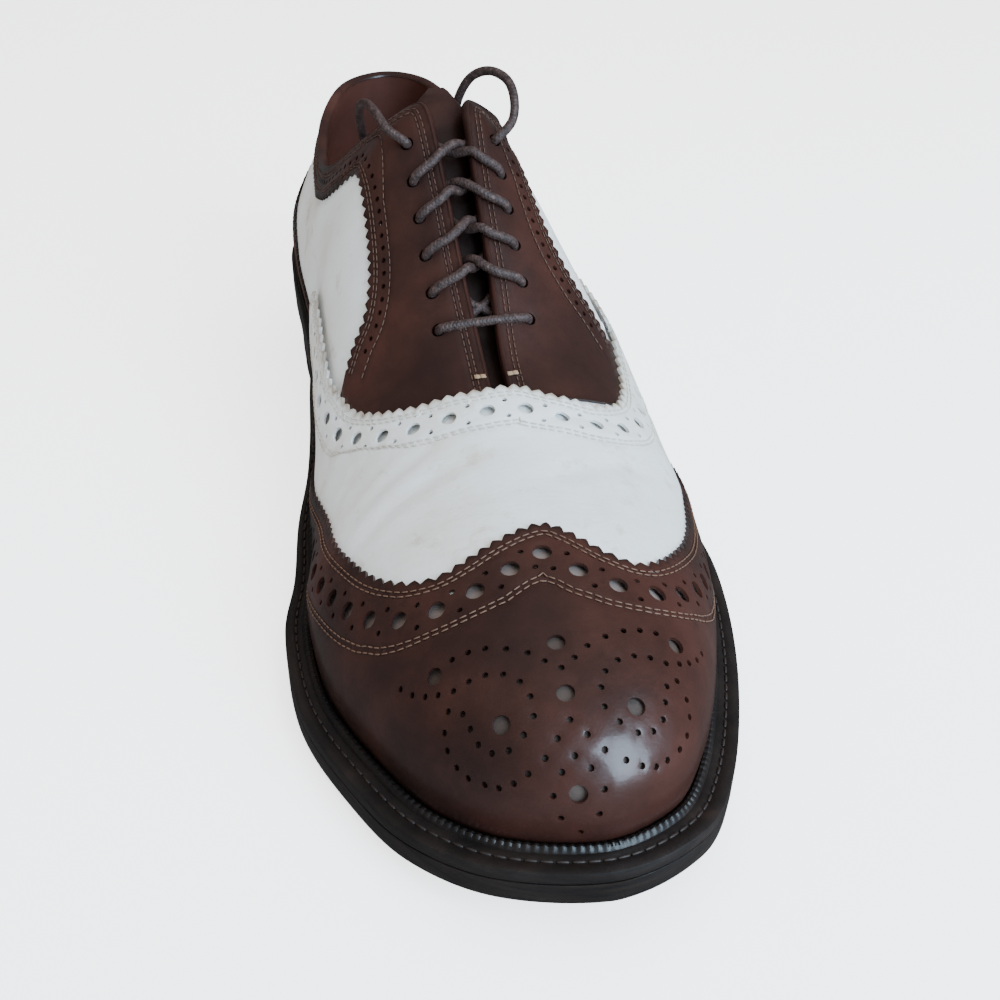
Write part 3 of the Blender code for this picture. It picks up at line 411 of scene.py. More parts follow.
# Vegetable-tanned leather, rubbed by the foot: warm tan in broad clouds, with fine pores.
INSOLE_CLOUD = 45.455 * MM
INSOLE_PORE = 0.90909 * MM
insole_leather, shader, place = new_material("worn_insole_leather")
broad = node(insole_leather, "ShaderNodeTexNoise", {"Vector": place}, Scale=1 / INSOLE_CLOUD, Detail=5.0,
             Roughness=0.6)
tone = node(insole_leather, "ShaderNodeValToRGB", {"Fac": broad.outputs[0]},
            tones((0.3, "#6b4630"), (0.55, "#96694a"), (0.8, "#b3865f")))
link(insole_leather, tone.outputs["Color"], shader, "Base Color")
pores = node(insole_leather, "ShaderNodeTexVoronoi", {"Vector": place}, Scale=1 / INSOLE_PORE)
relief = node(insole_leather, "ShaderNodeBump", {"Height": pores.outputs["Distance"]}, Strength=0.2,
              Distance=0.1 * MM)
link(insole_leather, relief.outputs[0], shader, "Normal")
shader.inputs["Roughness"].default_value = 0.5
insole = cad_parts["insole"]
insole.data.materials.clear()
insole.data.materials.append(insole_leather)

# Upper, inner and outer skin
# White calf quarters and vamp base, about 1.1 mm thick, lasted over a brown leather lining and tacked under
# the welt. The whole upper is one surface between the feather edge at the sole and the ridge, slit and top
# line.

INSTEP_HEIGHT = 0.1065
WELT_THICK = 0.0032
WELT_EXTENSION = 0.0095
GRID_ROWS = 24
GRID_UP = 120

# Creases pressed by the foot: places as (row, share up the wall), half the width and the depth in mm.
CREASES = (
    (((11.2, 0.42), (10.8, 0.62), (10.5, 0.80), (10.4, 0.97)), 2.4, 0.50),
    (((20.9, 0.98), (21.1, 0.84), (21.3, 0.66), (21.4, 0.48)), 2.6, 0.45),
    (((10.7, 0.40), (10.35, 0.55), (10.0, 0.74), (9.85, 0.93)), 2.0, 0.38),
    (((22.0, 0.97), (22.1, 0.80), (22.1, 0.62), (22.0, 0.46)), 2.2, 0.36),
    (((10.0, 0.30), (9.75, 0.44), (9.6, 0.60)), 1.8, 0.28),
    (((9.4, 0.22), (9.1, 0.34), (8.95, 0.46)), 2.0, 0.30),
    (((22.9, 0.50), (23.0, 0.38), (22.9, 0.26)), 2.0, 0.28),
    (((7.3, 0.12), (6.9, 0.24), (6.8, 0.36)), 2.6, 0.30),
    (((3.2, 0.42), (4.3, 0.50), (5.3, 0.56)), 3.2, 0.35),
    (((28.8, 0.42), (27.7, 0.50), (26.7, 0.56)), 3.2, 0.35),
    (((12.9, 0.40), (12.6, 0.62), (12.5, 0.84)), 3.0, 0.22),
    (((19.2, 0.42), (19.5, 0.62), (19.6, 0.82)), 3.0, 0.22),
)


def top_points(rows):
    """The upper's top: the ridge over toe and vamp, the slit's edge at the facings, then the top line."""
    rows = np.asarray(rows, float) % ROWS
    on_ridge = (rows >= THROAT_ROW) & (rows <= ROWS - THROAT_ROW)
    rows = np.where(on_ridge, np.minimum(rows, ROWS - rows), rows)
    return np.stack([last_value("top_across", rows) * BALL_HALF_WIDTH,
                     (0.5 - last_value("top_along", rows)) * SOLE_LENGTH,
                     last_value("height", rows) * INSTEP_HEIGHT], axis=-1)


def unit(vectors):
    return vectors / np.maximum(np.linalg.norm(vectors, axis=-1, keepdims=True), 1e-12)


def wall_net(rows, shares):
    """The upper's outer face as a net of points, each row's top and the way its wall comes out from it."""
    foot, out = edge_points(rows, last_value("welt", rows) * WELT_EXTENSION)
    top = top_points(rows)
    low = np.column_stack([foot, outsole_top(foot[:, 1]) + 2 * SEAT_GAP + WELT_THICK])
    tall = top[:, 2] - low[:, 2]
    swell = low.copy()
    swell[:, :2] += out * (last_value("bulge", rows) * BALL_HALF_WIDTH)[:, None]
    swell[:, 2] += last_value("rise", rows) * tall
    blend = np.clip((np.minimum(rows % ROWS, ROWS - rows % ROWS) - 4.0) / 5.0, 0.0, 1.0)[:, None]
    reach = unit(blend * unit(foot - top[:, :2]) + (1.0 - blend) * out)
    come_in = top.copy()
    come_in[:, :2] += reach * (last_value("crown", rows) * BALL_HALF_WIDTH)[:, None]
    come_in[:, 2] += last_value("tilt", rows) * (come_in[:, 1] - top[:, 1]) - last_value("drop", rows) * tall
    t = shares[None, :, None]
    u = 1.0 - t
    net = (u ** 3 * low[:, None] + 3 * u * u * t * swell[:, None] + 3 * u * t * t * come_in[:, None]
           + t ** 3 * top[:, None])
    return net, top, reach


def net_normals(net):
    normals = unit(np.cross(np.roll(net, -1, 0) - np.roll(net, 1, 0), np.gradient(net, axis=1)))
    normals[:, -1] = normals[:, -2]
    count = len(net)
    ridge = np.arange(THROAT_ROW * GRID_ROWS, (ROWS - THROAT_ROW) * GRID_ROWS + 1)
    normals[ridge, -1] = unit(normals[ridge, -1] + normals[(count - ridge) % count, -1])
    pole = np.linalg.norm(net[:, -1] - net[TOE_ROW * GRID_ROWS, -1], axis=1) < 1e-6
    normals[pole, -1] = unit(normals[pole, -1].mean(axis=0))
    return normals


grid_rows = np.arange(ROWS * GRID_ROWS) / GRID_ROWS
grid_shares = np.linspace(0.0, 1.0, GRID_UP + 1)
skin, skin_top, skin_reach = wall_net(grid_rows, grid_shares)
skin_normals = net_normals(skin)


def on_last(rows, shares, height=0.0):
    """Points of the upper by row and share, that far off its face."""
    at = np.asarray(rows, float) % ROWS * GRID_ROWS
    up = np.clip(np.asarray(shares, float), 0.0, 1.0) * GRID_UP
    i, j = np.floor(at).astype(int), np.minimum(np.floor(up).astype(int), GRID_UP - 1)
    fi, fj = (at - i)[..., None], (up - j)[..., None]
    a, b = i % len(skin), (i + 1) % len(skin)
    place, normal = ((1 - fi) * ((1 - fj) * net[a, j] + fj * net[a, j + 1])
                     + fi * ((1 - fj) * net[b, j] + fj * net[b, j + 1]) for net in (skin, skin_normals))
    return place + unit(normal) * (np.asarray(height, float) + np.zeros(at.shape))[..., None]


def normal_on_last(rows, shares):
    return unit(on_last(rows, shares, MM) - on_last(rows, shares))


# The slit stays open down to the throat: how far each edge is trimmed back, in mm, by row from the heel.
SLIT_TRIM = ((5.2, 0.0), (6.2, 0.4), (7.0, 0.9), (8.0, 1.6), (8.6, 2.1), (9.0, 2.4), (9.3, 2.4), (9.42, 0.0),
             (16.0, 0.0))


def slit_share(rows):
    """How far up the wall the leather goes, for rows of the last."""
    folded = np.minimum(np.asarray(rows, float) % ROWS, ROWS - np.asarray(rows, float) % ROWS)
    trim = np.interp(folded, *np.array(SLIT_TRIM).T) * MM
    return np.array([1.0 if not girth else share_at(row, girth) for row, girth in zip(rows, trim)])


def nearest(points, others):
    """For each point, which of the others is nearest to it and how far off."""
    tree = KDTree(len(others))
    for index, point in enumerate(others):
        tree.insert(point, index)
    tree.balance()
    found = [tree.find(point) for point in points.tolist()]
    return np.array([item[1] for item in found]), np.array([item[2] for item in found])


def share_at(row, girth):
    """The share up the wall at that distance down it from its top."""
    shares = np.linspace(1.0, 0.2, 161)
    return float(np.interp(girth, lengths(on_last(np.full(161, row), shares)), shares))


def lengths(points):
    return np.concatenate([[0.0], np.cumsum(np.linalg.norm(np.diff(points, axis=0), axis=1))])


def at_runs(line, run, at):
    """Points of a line at lengths along it."""
    return np.stack([np.interp(at, run, line[:, k]) for k in range(line.shape[1])], axis=-1)


pressed = np.zeros(skin.shape[:2])
for places, half_width, depth in CREASES:
    line = np.array(places)
    at = np.linspace(0, len(line) - 1, 40)
    bent = at_runs(line, np.arange(len(line)), at)
    spots = on_last(bent[:, 0], bent[:, 1])
    fade = np.sin(np.linspace(0, math.pi, 40)) ** 0.7
    low, high = spots.min(axis=0) - 4 * half_width * MM, spots.max(axis=0) + 4 * half_width * MM
    close = np.all((skin > low) & (skin < high), axis=-1)
    apart = np.linalg.norm(skin[close][:, None] - spots[None], axis=-1) / MM
    place, away = apart.argmin(axis=1), apart.min(axis=1)
    trough = -np.exp(-(away / half_width) ** 2)
    trough += 0.45 * np.exp(-((away - 2.1 * half_width) / half_width) ** 2)
    pressed[close] += depth * fade[place] * trough
skin = skin + skin_normals * (pressed * MM)[..., None]
skin_normals = net_normals(skin)

# Flat layout of vamp and cap: each wall curve is laid out from its top, as a cutter's pattern.
grid_girth = np.linalg.norm(np.diff(skin, axis=1), axis=-1)
grid_girth = np.cumsum(grid_girth[:, ::-1], axis=1)[:, ::-1]
grid_girth = np.concatenate([grid_girth, np.zeros((len(skin), 1))], axis=1)
pattern = skin_top[:, None, :2] + grid_girth[..., None] * skin_reach[:, None]
pattern_rows = np.arange(int(4.5 * GRID_ROWS), int(27.5 * GRID_ROWS) + 1, 3)
pattern_ups = np.arange(0, GRID_UP + 1, 3)
pattern_net = pattern[np.ix_(pattern_rows, pattern_ups)]
pattern_spots = pattern_net.reshape(-1, 2)
pattern_places = np.stack(np.meshgrid(grid_rows[pattern_rows], grid_shares[pattern_ups], indexing="ij"),
                          axis=-1).reshape(-1, 2)
pattern_faces = []
high = len(pattern_ups)
for i in range(len(pattern_rows) - 1):
    for j in range(high - 1):
        a, b, c, d = i * high + j, (i + 1) * high + j, (i + 1) * high + j + 1, i * high + j + 1
        for face in ((a, b, c), (a, c, d)):
            p, q, r = pattern_spots[list(face)]
            if abs((q[0] - p[0]) * (r[1] - p[1]) - (q[1] - p[1]) * (r[0] - p[0])) > 1e-12:
                pattern_faces.append(face)
pattern_tree = BVHTree.FromPolygons([(x, y, 0.0) for x, y in pattern_spots], pattern_faces)
pattern_faces = np.array(pattern_faces)


def pattern_chart(flat):
    """Rows and shares for points of the flat pattern of vamp and cap."""
    flat = np.asarray(flat, float)
    found = np.array([pattern_tree.find_nearest((x, y, 0.0))[2] for x, y in flat])
    corners = pattern_faces[found]
    a, b, c = (pattern_spots[corners[:, k]] for k in range(3))
    spread = np.stack([b - a, c - a], axis=-1)
    share = np.linalg.solve(spread, (flat - a)[..., None])[..., 0]
    weights = np.column_stack([1 - share.sum(axis=1), share])
    return np.einsum("nk,nkd->dn", weights, pattern_places[corners])


def lay_out(places):
    """Points of the flat pattern for (row, share) places."""
    places = np.asarray(places, float)
    at, up = places[:, 0] * GRID_ROWS, places[:, 1] * GRID_UP
    i, j = np.floor(at).astype(int), np.minimum(np.floor(up).astype(int), GRID_UP - 1)
    fi, fj = (at - i)[:, None], (up - j)[:, None]
    return ((1 - fi) * ((1 - fj) * pattern[i, j] + fj * pattern[i, j + 1])
            + fi * ((1 - fj) * pattern[i + 1, j] + fj * pattern[i + 1, j + 1]))


ROW_SPAN = 0.017
WALL_SPAN = 0.085


def wall_chart(flat):
    """Rows and shares for points of a plain drawing of the wall, as facings and counter are cut from."""
    flat = np.asarray(flat, float)
    return flat[:, 0] / ROW_SPAN, flat[:, 1] / WALL_SPAN


def chart_places(places):
    return np.asarray(places, float) * (ROW_SPAN, WALL_SPAN)


def rounded(points, steps=4):
    """A rounded line through flat points."""
    points = np.asarray(points, float)
    padded = np.vstack([2 * points[0] - points[1], points, 2 * points[-1] - points[-2]])
    t = (np.arange(steps) / steps)[:, None]
    run = [hermite(b, c, (c - a) / 2, (d - b) / 2, t)
           for a, b, c, d in zip(padded, padded[1:], padded[2:], padded[3:])]
    return np.vstack([*run, points[-1:]])


def measured(chart, line, step, whole=1):
    """The line in even steps over the shoe, about that long, their number a multiple of whole."""
    steps = np.linspace(0, 1, 6)[:-1, None]
    fine = np.vstack([*(a + (b - a) * steps for a, b in zip(line, line[1:])), line[-1:]])
    run = lengths(on_last(*chart(fine)))
    count = max(1, round(run[-1] / step / whole)) * whole
    return at_runs(fine, run, np.linspace(0, run[-1], count + 1))


def metric(chart, flat):
    """How flat steps turn into lengths on the shoe, as one matrix for each flat point."""
    step = 0.3 * MM
    spread = [(on_last(*chart(flat + shift)) - on_last(*chart(flat - shift))) / (2 * step)
              for shift in (np.array((step, 0)), np.array((0, step)))]
    spread = np.stack(spread, axis=-1)
    return np.swapaxes(spread, 1, 2) @ spread + 1e-6 * np.eye(2)


def leftward(chart, line):
    """Flat steps to the left of a line, each one metre long on the shoe."""
    run = np.gradient(line, axis=0)
    turned = np.stack([-run[:, 1], run[:, 0]], axis=1)
    matrix = metric(chart, line)
    left = np.linalg.solve(matrix, turned[..., None])[..., 0]
    return left / np.sqrt(np.einsum("ni,nij,nj->n", left, matrix, left))[:, None]


def beside(chart, line, distance):
    """A line that far to the left of another on the shoe, without the loops in its tight turns."""
    moved = line + leftward(chart, line) * distance
    solid, base = on_last(*chart(moved)), on_last(*chart(line))
    near = np.linalg.norm(solid[:, None] - base[None], axis=-1).min(axis=1)
    return moved[near > abs(distance) * 0.96]


TOOTH = 3.2 * MM
TOOTH_DEEP = 1.3 * MM


def pinked(chart, line):
    """A line cut with pinking teeth, their tips on the line and their notches to its left."""
    fine = measured(chart, line, TOOTH / 4, whole=4)
    deep = np.array([0.0, 0.40, 1.0, 0.40] * (len(fine) // 4) + [0.0]) * TOOTH_DEEP
    return fine + leftward(chart, fine) * deep[:, None]


HOLE_SIDES = 16
SMALL_HOLE_SIDES = 8


def round_hole(chart, centre, radius):
    """The flat outline of a hole that is round on the shoe."""
    sides = HOLE_SIDES if radius > MM else SMALL_HOLE_SIDES
    matrix = metric(chart, np.array([centre]))[0]
    values, vectors = np.linalg.eigh(matrix)
    turn = np.linspace(0, 2 * math.pi, sides, endpoint=False)
    circle = np.stack([np.cos(turn), np.sin(turn)], axis=1) * radius
    return np.asarray(centre) + circle @ (vectors @ np.diag(values ** -0.5) @ vectors.T)


def within(outline, points):
    """Which flat points lie inside a closed flat outline."""
    found = np.zeros(len(points), bool)
    for (xa, ya), (xb, yb) in zip(outline, np.roll(outline, -1, axis=0)):
        if ya != yb:
            crosses = (ya > points[:, 1]) != (yb > points[:, 1])
            found ^= crosses & (points[:, 0] < xa + (points[:, 1] - ya) * (xb - xa) / (yb - ya))
    return found


def on_leather(outline, punched, points):
    """Which flat points lie inside the outline and in no hole."""
    good = within(outline, points)
    for loop in punched:
        close = np.linalg.norm(points - loop.mean(axis=0), axis=1) < 2 * np.ptp(loop, axis=0).max()
        good[close] &= ~within(loop, points[close])
    return good


def thinned(points, gaps, cell=0.9 * MM):
    """Indices of the points that keep their gap from those before them."""
    kept, tree = [], {}
    for index, ((x, y), gap) in enumerate(zip(points.tolist(), gaps)):
        i, j = int(x // cell), int(y // cell)
        close = (tree.get((i + di, j + dj), ()) for di in (-1, 0, 1) for dj in (-1, 0, 1))
        if gap and any((x - px) ** 2 + (y - py) ** 2 < gap * gap for spots in close for px, py in spots):
            continue
        tree.setdefault((i, j), []).append((x, y))
        kept.append(index)
    return kept


SEAM_PRESS = 0.28 * MM
SEAM_ROWS = ((-0.75 * MM, 0.0), (0.0, SEAM_PRESS), (0.75 * MM, 0.0))
PANEL_THICK = 0.95 * MM
RIM_PRESS = 0.14 * MM
SEAM_STEP = 1.25 * MM
SEAM_GAP = 0.35 * MM
FIELD_STEP = 1.7 * MM
FIELD_GAP = 0.62 * MM
EDGE_WEAR = 2.4 * MM


def panel(name, chart, outline, height, material, slot, *replaced, seams=(), holes=()):
    """A leather panel cut from a flat outline, with its holes punched and its seams pressed in, on the last.

    height gives how far its underside lies off the upper for flat points.
    """
    punched = [round_hole(chart, centre, radius) for centre, radius in holes]
    punched = [loop for loop in punched if within(outline, loop).all()]
    fixed = np.vstack([outline, *punched])
    edges, start = [], 0
    for loop in (outline, *punched):
        edges += [(start + k, start + (k + 1) % len(loop)) for k in range(len(loop))]
        start += len(loop)
    extra, low = [], []
    for seam in seams:
        steps = measured(chart, seam, SEAM_STEP)
        left = leftward(chart, steps)
        for shift, press in SEAM_ROWS:
            extra.append(steps + left * shift)
            low.append(np.full(len(steps), press))
    floor, ceiling = fixed.min(axis=0), fixed.max(axis=0)
    for k, y in enumerate(np.arange(floor[1], ceiling[1], FIELD_STEP * 0.87)):
        across = np.arange(floor[0] + (k % 2) * FIELD_STEP / 2, ceiling[0], FIELD_STEP)
        extra.append(np.column_stack([across, np.full(len(across), y)]))
        low.append(np.zeros(len(across)))
    extra, low = np.vstack(extra), np.concatenate(low)
    order = np.argsort(-low, kind="stable")
    extra, low = extra[order], low[order]
    good = on_leather(outline, punched, extra)
    extra, low = extra[good], low[good]
    everything = np.vstack([fixed, extra])
    kept = thinned(everything, np.concatenate([np.zeros(len(fixed)), np.where(low > 0, SEAM_GAP, FIELD_GAP)]))
    press = np.concatenate([np.full(len(fixed), RIM_PRESS), low])[kept]
    spots = [Vector(p) for p in everything[kept]]
    found, _, triangles, origins, *_ = delaunay_2d_cdt(spots, edges, [], 0, 1e-8)
    flat = np.array([tuple(p) for p in found])
    press = np.array([press[ids[0]] if ids else RIM_PRESS for ids in origins])
    triangles = np.array(triangles)
    triangles = triangles[on_leather(outline, punched, flat[triangles].mean(axis=1))]
    used = np.unique(triangles)
    renumber = np.full(len(flat), -1)
    renumber[used] = np.arange(len(used))
    flat, press, triangles = flat[used], press[used], renumber[triangles]
    rows, shares = chart(flat)
    base = height(flat)
    count = len(flat)
    points = np.vstack([on_last(rows, shares, base + PANEL_THICK - press), on_last(rows, shares, base)])
    once = {}
    for a, b, c in triangles.tolist():
        for edge in ((a, b), (b, c), (c, a)):
            once[edge] = True
    rim = [(b, a, a + count, b + count) for a, b in once if (b, a) not in once]
    faces = triangles.tolist() + [(c + count, b + count, a + count) for a, b, c in triangles.tolist()] + rim
    piece = new_piece(name, points, faces, material, slot, *replaced)
    away = nearest(on_last(rows, shares), on_last(*chart(outline)))[1]
    wear = np.clip(1.0 - away / EDGE_WEAR, 0.0, 1.0)
    mark = piece.data.attributes.new("wear_and_shade", "FLOAT", "POINT")
    mark.data.foreach_set("value", np.concatenate([wear, wear]).astype(np.float32))
    turn_out(piece, merge=1e-7)
    return piece


STITCH_PITCH = 2.1 * MM
STITCH_LONG = 1.6 * MM
STITCH_THICK = 0.36 * MM
STITCH_SUNK = 0.02 * MM


def stitch_run(chart, line, height, pitch=STITCH_PITCH):
    """Middles, directions and normals of stitches along a flat line, for a seam that high off the upper."""
    steps = measured(chart, line, pitch)
    rows, shares = chart(steps)
    points = on_last(rows, shares, height(steps))
    middles = (points[1:] + points[:-1]) / 2
    normals = unit(normal_on_last(rows, shares)[1:] + normal_on_last(rows, shares)[:-1])
    return middles, unit(points[1:] - points[:-1]), normals


def stitched(name, runs, material, slot, long=STITCH_LONG, thick=STITCH_THICK):
    """All the stitches of one piece, each a small round-ended length of thread."""
    along = np.array((-1.0, -0.82, 0.0, 0.82, 1.0)) * long / 2
    wide = np.array((0.35, 0.85, 1.0, 0.85, 0.35)) * thick / 2
    turn = np.linspace(0, 2 * math.pi, 6, endpoint=False)
    points, faces = [], []
    for middles, ahead, normals in runs:
        across = unit(np.cross(ahead, normals))
        up = np.cross(across, ahead)
        for middle, a, b, c in zip(middles, ahead, across, up):
            start = len(points)
            for s, w in zip(along, wide):
                points += [middle + a * s + (b * math.cos(v) + c * math.sin(v)) * w for v in turn]
            faces += [tuple(start + i for i in face) for face in ring_faces(5, 6, capped=True)]
    return new_piece(name, points, faces, material, slot, angle=80)


def sewn(stem, leather, chart, outline, height, seams, holes, material, linen, slot, *replaced):
    """A panel, and its seams' stitches pulled a little into it."""
    panel(f"{stem}_{leather}", chart, outline, height, material, slot, *replaced, seams=seams, holes=holes)
    face = raised(height, PANEL_THICK - STITCH_SUNK)
    stitched(f"{stem}_stitches", [stitch_run(chart, seam, face) for seam in seams], linen, slot)


def raised(height, up):
    return lambda flat: height(flat) + up


def shell(name, low, high, shares, material, slot, *replaced):
    """The upper's whole surface as a wall between two heights, with the eyelets still to cut."""
    rows = np.arange(ROWS * 8) / 8
    grid = np.meshgrid(rows, shares, indexing="ij")
    grid[1] = grid[1] * slit_share(rows)[:, None]
    count, tall = len(rows), len(shares)
    sheet = on_last(*grid, high).reshape(-1, 3)
    faces = [(i * tall + j, i * tall + j + 1, (i + 1) % count * tall + j + 1, (i + 1) % count * tall + j)
             for i in range(count) for j in range(tall - 1)]
    piece = new_piece(name, sheet, faces, material, slot, *replaced)
    turn_out(piece, merge=2e-6)
    foremost = min(piece.data.polygons, key=lambda face: face.center.y)
    if foremost.normal.y > 0:
        piece.data.flip_normals()
    select_only(piece)
    wall = piece.modifiers.new("wall", "SOLIDIFY")
    wall.thickness = high - low
    wall.offset = -1.0
    bpy.ops.object.modifier_apply(modifier="wall")
    return piece


DYE_CLOUD = 38.462 * MM
DYE_SPOT = 13.333 * MM
DARKENING_PATCH = 7.1429 * MM
HAND_WAVE = 6.25 * MM
GRAIN_LINE = 1.1111 * MM
PORE = 0.76923 * MM
CREASE_GRAIN = (11.111 * MM, 2.381 * MM, 3.3333 * MM)


def calf(name, stops, spots, rough, grain, darkening_colour, coat, creased=0.0):
    """Smooth calf leather: cloudy dye, fine pores, creased grain, a darker or dirtier cut edge, painted shade
    where marked.
    """
    made, shader, place = new_material(name)
    placed = {"Vector": place}
    cloud = node(made, "ShaderNodeTexNoise", placed, Scale=1 / DYE_CLOUD, Detail=8.0, Roughness=0.6)
    tone = node(made, "ShaderNodeValToRGB", {"Fac": cloud.outputs[0]}, stops)
    blot = node(made, "ShaderNodeTexNoise", placed, Scale=1 / DYE_SPOT, Detail=6.0, Roughness=0.7)
    blots = node(made, "ShaderNodeValToRGB", {"Fac": blot.outputs[0]}, ((0.58, grey(0.0)), (0.74, grey(1.0))))
    mix = node(made, "ShaderNodeMix", {"Factor": blots.outputs["Color"], "A": tone.outputs["Color"]},
               data_type="RGBA")
    mix.inputs["B"].default_value = spots
    # This attribute darkens the leather: real wear and dirt at the panels' cut edges, painted shade on the
    # tongue under the lacing.
    edge = node(made, "ShaderNodeAttribute", attribute_name="wear_and_shade")
    patch_noise = node(made, "ShaderNodeTexNoise", placed, Scale=1 / DARKENING_PATCH, Detail=5.0)
    darkening = node(made, "ShaderNodeMath", {0: edge.outputs["Fac"], 1: patch_noise.outputs[0]}, operation="MULTIPLY")
    near = node(made, "ShaderNodeValToRGB", {"Fac": darkening.outputs[0]},
                ((0.0, grey(0.0)), (0.25, grey(0.12)), (0.6, grey(0.9))))
    darkened = node(made, "ShaderNodeMix", {"Factor": near.outputs["Color"], "A": mix.outputs["Result"]},
                data_type="RGBA")
    darkened.inputs["B"].default_value = darkening_colour
    link(made, darkened.outputs["Result"], shader, "Base Color")
    dull = node(made, "ShaderNodeValToRGB", {"Fac": blot.outputs[0]},
                ((0.3, grey(rough[0])), (0.75, grey(rough[1]))))
    link(made, dull.outputs["Color"], shader, "Roughness")
    pores = node(made, "ShaderNodeTexVoronoi", placed, Scale=1 / PORE)
    lines = node(made, "ShaderNodeTexNoise", placed, Scale=1 / GRAIN_LINE, Detail=4.0, Distortion=0.8)
    waves = node(made, "ShaderNodeTexNoise", placed, Scale=1 / HAND_WAVE, Detail=3.0)
    across = node(made, "ShaderNodeMapping", placed, Scale=tuple(1 / size for size in CREASE_GRAIN))
    across.inputs["Rotation"].default_value = (0.0, 0.0, 0.3)
    folds = node(made, "ShaderNodeTexNoise", {"Vector": across.outputs[0]}, Scale=1.0, Detail=5.0,
                 Roughness=0.7, Distortion=0.6)
    sharp = node(made, "ShaderNodeValToRGB", {"Fac": folds.outputs[0]},
                 ((0.40, grey(1.0)), (0.47, grey(0.35)), (0.54, grey(1.0))))
    relief = node(made, "ShaderNodeBump", {"Height": waves.outputs[0]}, Strength=0.25, Distance=0.25 * MM)
    for height, strength, deep in ((sharp.outputs["Color"], creased, 0.12 * MM),
                                   (lines.outputs[0], grain, 0.08 * MM),
                                   (pores.outputs["Distance"], grain, 0.06 * MM)):
        relief = node(made, "ShaderNodeBump", {"Height": height, "Normal": relief.outputs[0]},
                      Strength=strength, Distance=deep)
    link(made, relief.outputs[0], shader, "Normal")
    shader.inputs["Coat Weight"].default_value = coat
    shader.inputs["Coat Roughness"].default_value = 0.14
    shader.inputs["Specular IOR Level"].default_value = 0.36
    return made


white_calf = calf("white_smooth_calf", tones((0.30, "#d9d3c9"), (0.50, "#e6e6e3"), (0.72, "#eef1f3")),
                  srgb("#c9c0b2"), (0.42, 0.55), 0.25, srgb("#8d7961"), 0.05, creased=0.5)
brown_calf = calf("brown_polished_calf",
                  tones((0.28, "#1f1310"), (0.46, "#2f1b16"), (0.62, "#40241d"), (0.80, "#4f2f27")),
                  srgb("#2a1712"), (0.30, 0.42), 0.2, srgb("#1f120e"), 0.22, creased=0.1)
# The lining's own red-brown, darkened a little further as painted shade for the inside of the shoe.
brown_lining = calf("red_brown_leather_lining",
                    tones((0.30, "#4a2b24"), (0.60, "#5f392f"), (0.80, "#6e453a")),
                    srgb("#4a2b23"), (0.5, 0.62), 0.25, srgb("#3f251f"), 0.0)
# Grey and dark grey: painted shade, put on the white quarters' faces that show down the punched holes.
hole_shade_grey = calf("grey_painted_hole_shade", tones((0.30, "#6a5d57"), (0.60, "#857770"), (0.80, "#978a83")),
                    srgb("#5a4e49"), (0.6, 0.7), 0.3, srgb("#4a403c"), 0.0)
hole_shade_dark = calf("dark_painted_hole_shade", tones((0.30, "#3b302b"), (0.60, "#4d4039"), (0.80, "#5c4e47")),
                    srgb("#332925"), (0.6, 0.7), 0.3, srgb("#2c2421"), 0.0)


def thread(name, colour):
    """Waxed linen sewing thread, plain but for its twist, too fine to see."""
    made, shader, _ = new_material(name)
    shader.inputs["Base Color"].default_value = srgb(colour)
    shader.inputs["Roughness"].default_value = 0.6
    return made


white_thread = thread("white_linen_thread", "#cdc6ba")
golden_thread = thread("golden_linen_thread", "#6c5040")
tan_thread = thread("tan_linen_thread", "#9a7d62")
brown_thread = thread("brown_linen_thread", "#553d31")

# Places of the eyelets, measured along the slit's edge from the throat, as the maker's chart gives them.
LACE_ROWS = 6
EYELET_PITCH = 0.0112
EYELET_FROM_MIDDLE = 0.0116
EYELET_RADIUS = 0.0018
FIRST_EYELET = 0.0150
PEG_LONG = 12 * MM
slit_rows = np.linspace(THROAT_ROW, FACING_TOP_ROW, 61)
slit_run = lengths(top_points(slit_rows))
eyelets = {"outer": [], "inner": []}
for k in range(LACE_ROWS):
    row = float(np.interp(FIRST_EYELET + k * EYELET_PITCH, slit_run, slit_rows))
    middle = (top_points(row)[0] + top_points(ROWS - row)[0]) / 2
    for side, at in (("outer", row), ("inner", ROWS - row)):
        shares = np.linspace(1.0, 0.4, 241)
        away = np.abs(on_last(np.full(241, at), shares)[:, 0] - middle)
        eyelets[side].append((at, float(np.interp(EYELET_FROM_MIDDLE, away, shares))))


def cut_eyelets(piece):
    """Cuts the twelve eyelets through a shell with round pegs square to the leather."""
    pegs = []
    for places in eyelets.values():
        for row, share in places:
            centre, normal = on_last(row, share), normal_on_last(row, share)
            turn = Vector(normal).to_track_quat("Z", "Y").to_euler()
            bpy.ops.mesh.primitive_cylinder_add(vertices=20, radius=EYELET_RADIUS, depth=PEG_LONG,
                                                location=centre, rotation=turn)
            pegs.append(bpy.context.object)
    bpy.ops.object.select_all(action="DESELECT")
    for peg in pegs:
        peg.select_set(True)
    bpy.context.view_layer.objects.active = pegs[0]
    bpy.ops.object.join()
    punch = pegs[0]
    select_only(piece)
    holes = piece.modifiers.new("eyelets", "BOOLEAN")
    holes.operation = "DIFFERENCE"
    holes.solver = "EXACT"
    holes.object = punch
    bpy.ops.object.modifier_apply(modifier="eyelets")
    bpy.data.objects.remove(punch, do_unlink=True)


QUARTER_THICK = 1.1 * MM
LINING_FACES = (-2.0 * MM, -1.15 * MM)
shell_shares = np.linspace(0.0, 1.0, 41)
quarters = shell("quarters_white", -QUARTER_THICK, 0.0, shell_shares, white_calf, "white_calf", "upper")
cut_eyelets(quarters)
lining = shell("lining_leather", *LINING_FACES, shell_shares, brown_lining, "tan_lining")
cut_eyelets(lining)
for piece in (quarters, lining):
    finish_piece(piece, piece.data.materials[0], "white_calf" if piece is quarters else "tan_lining")

# Facings and collar band
# Brown calf, one panel on each side: the lacing facing, then the band round the top line to the back seam.
# Stitched to the quarters along the slit and along its pinked rear edge, with a row of small punched holes.

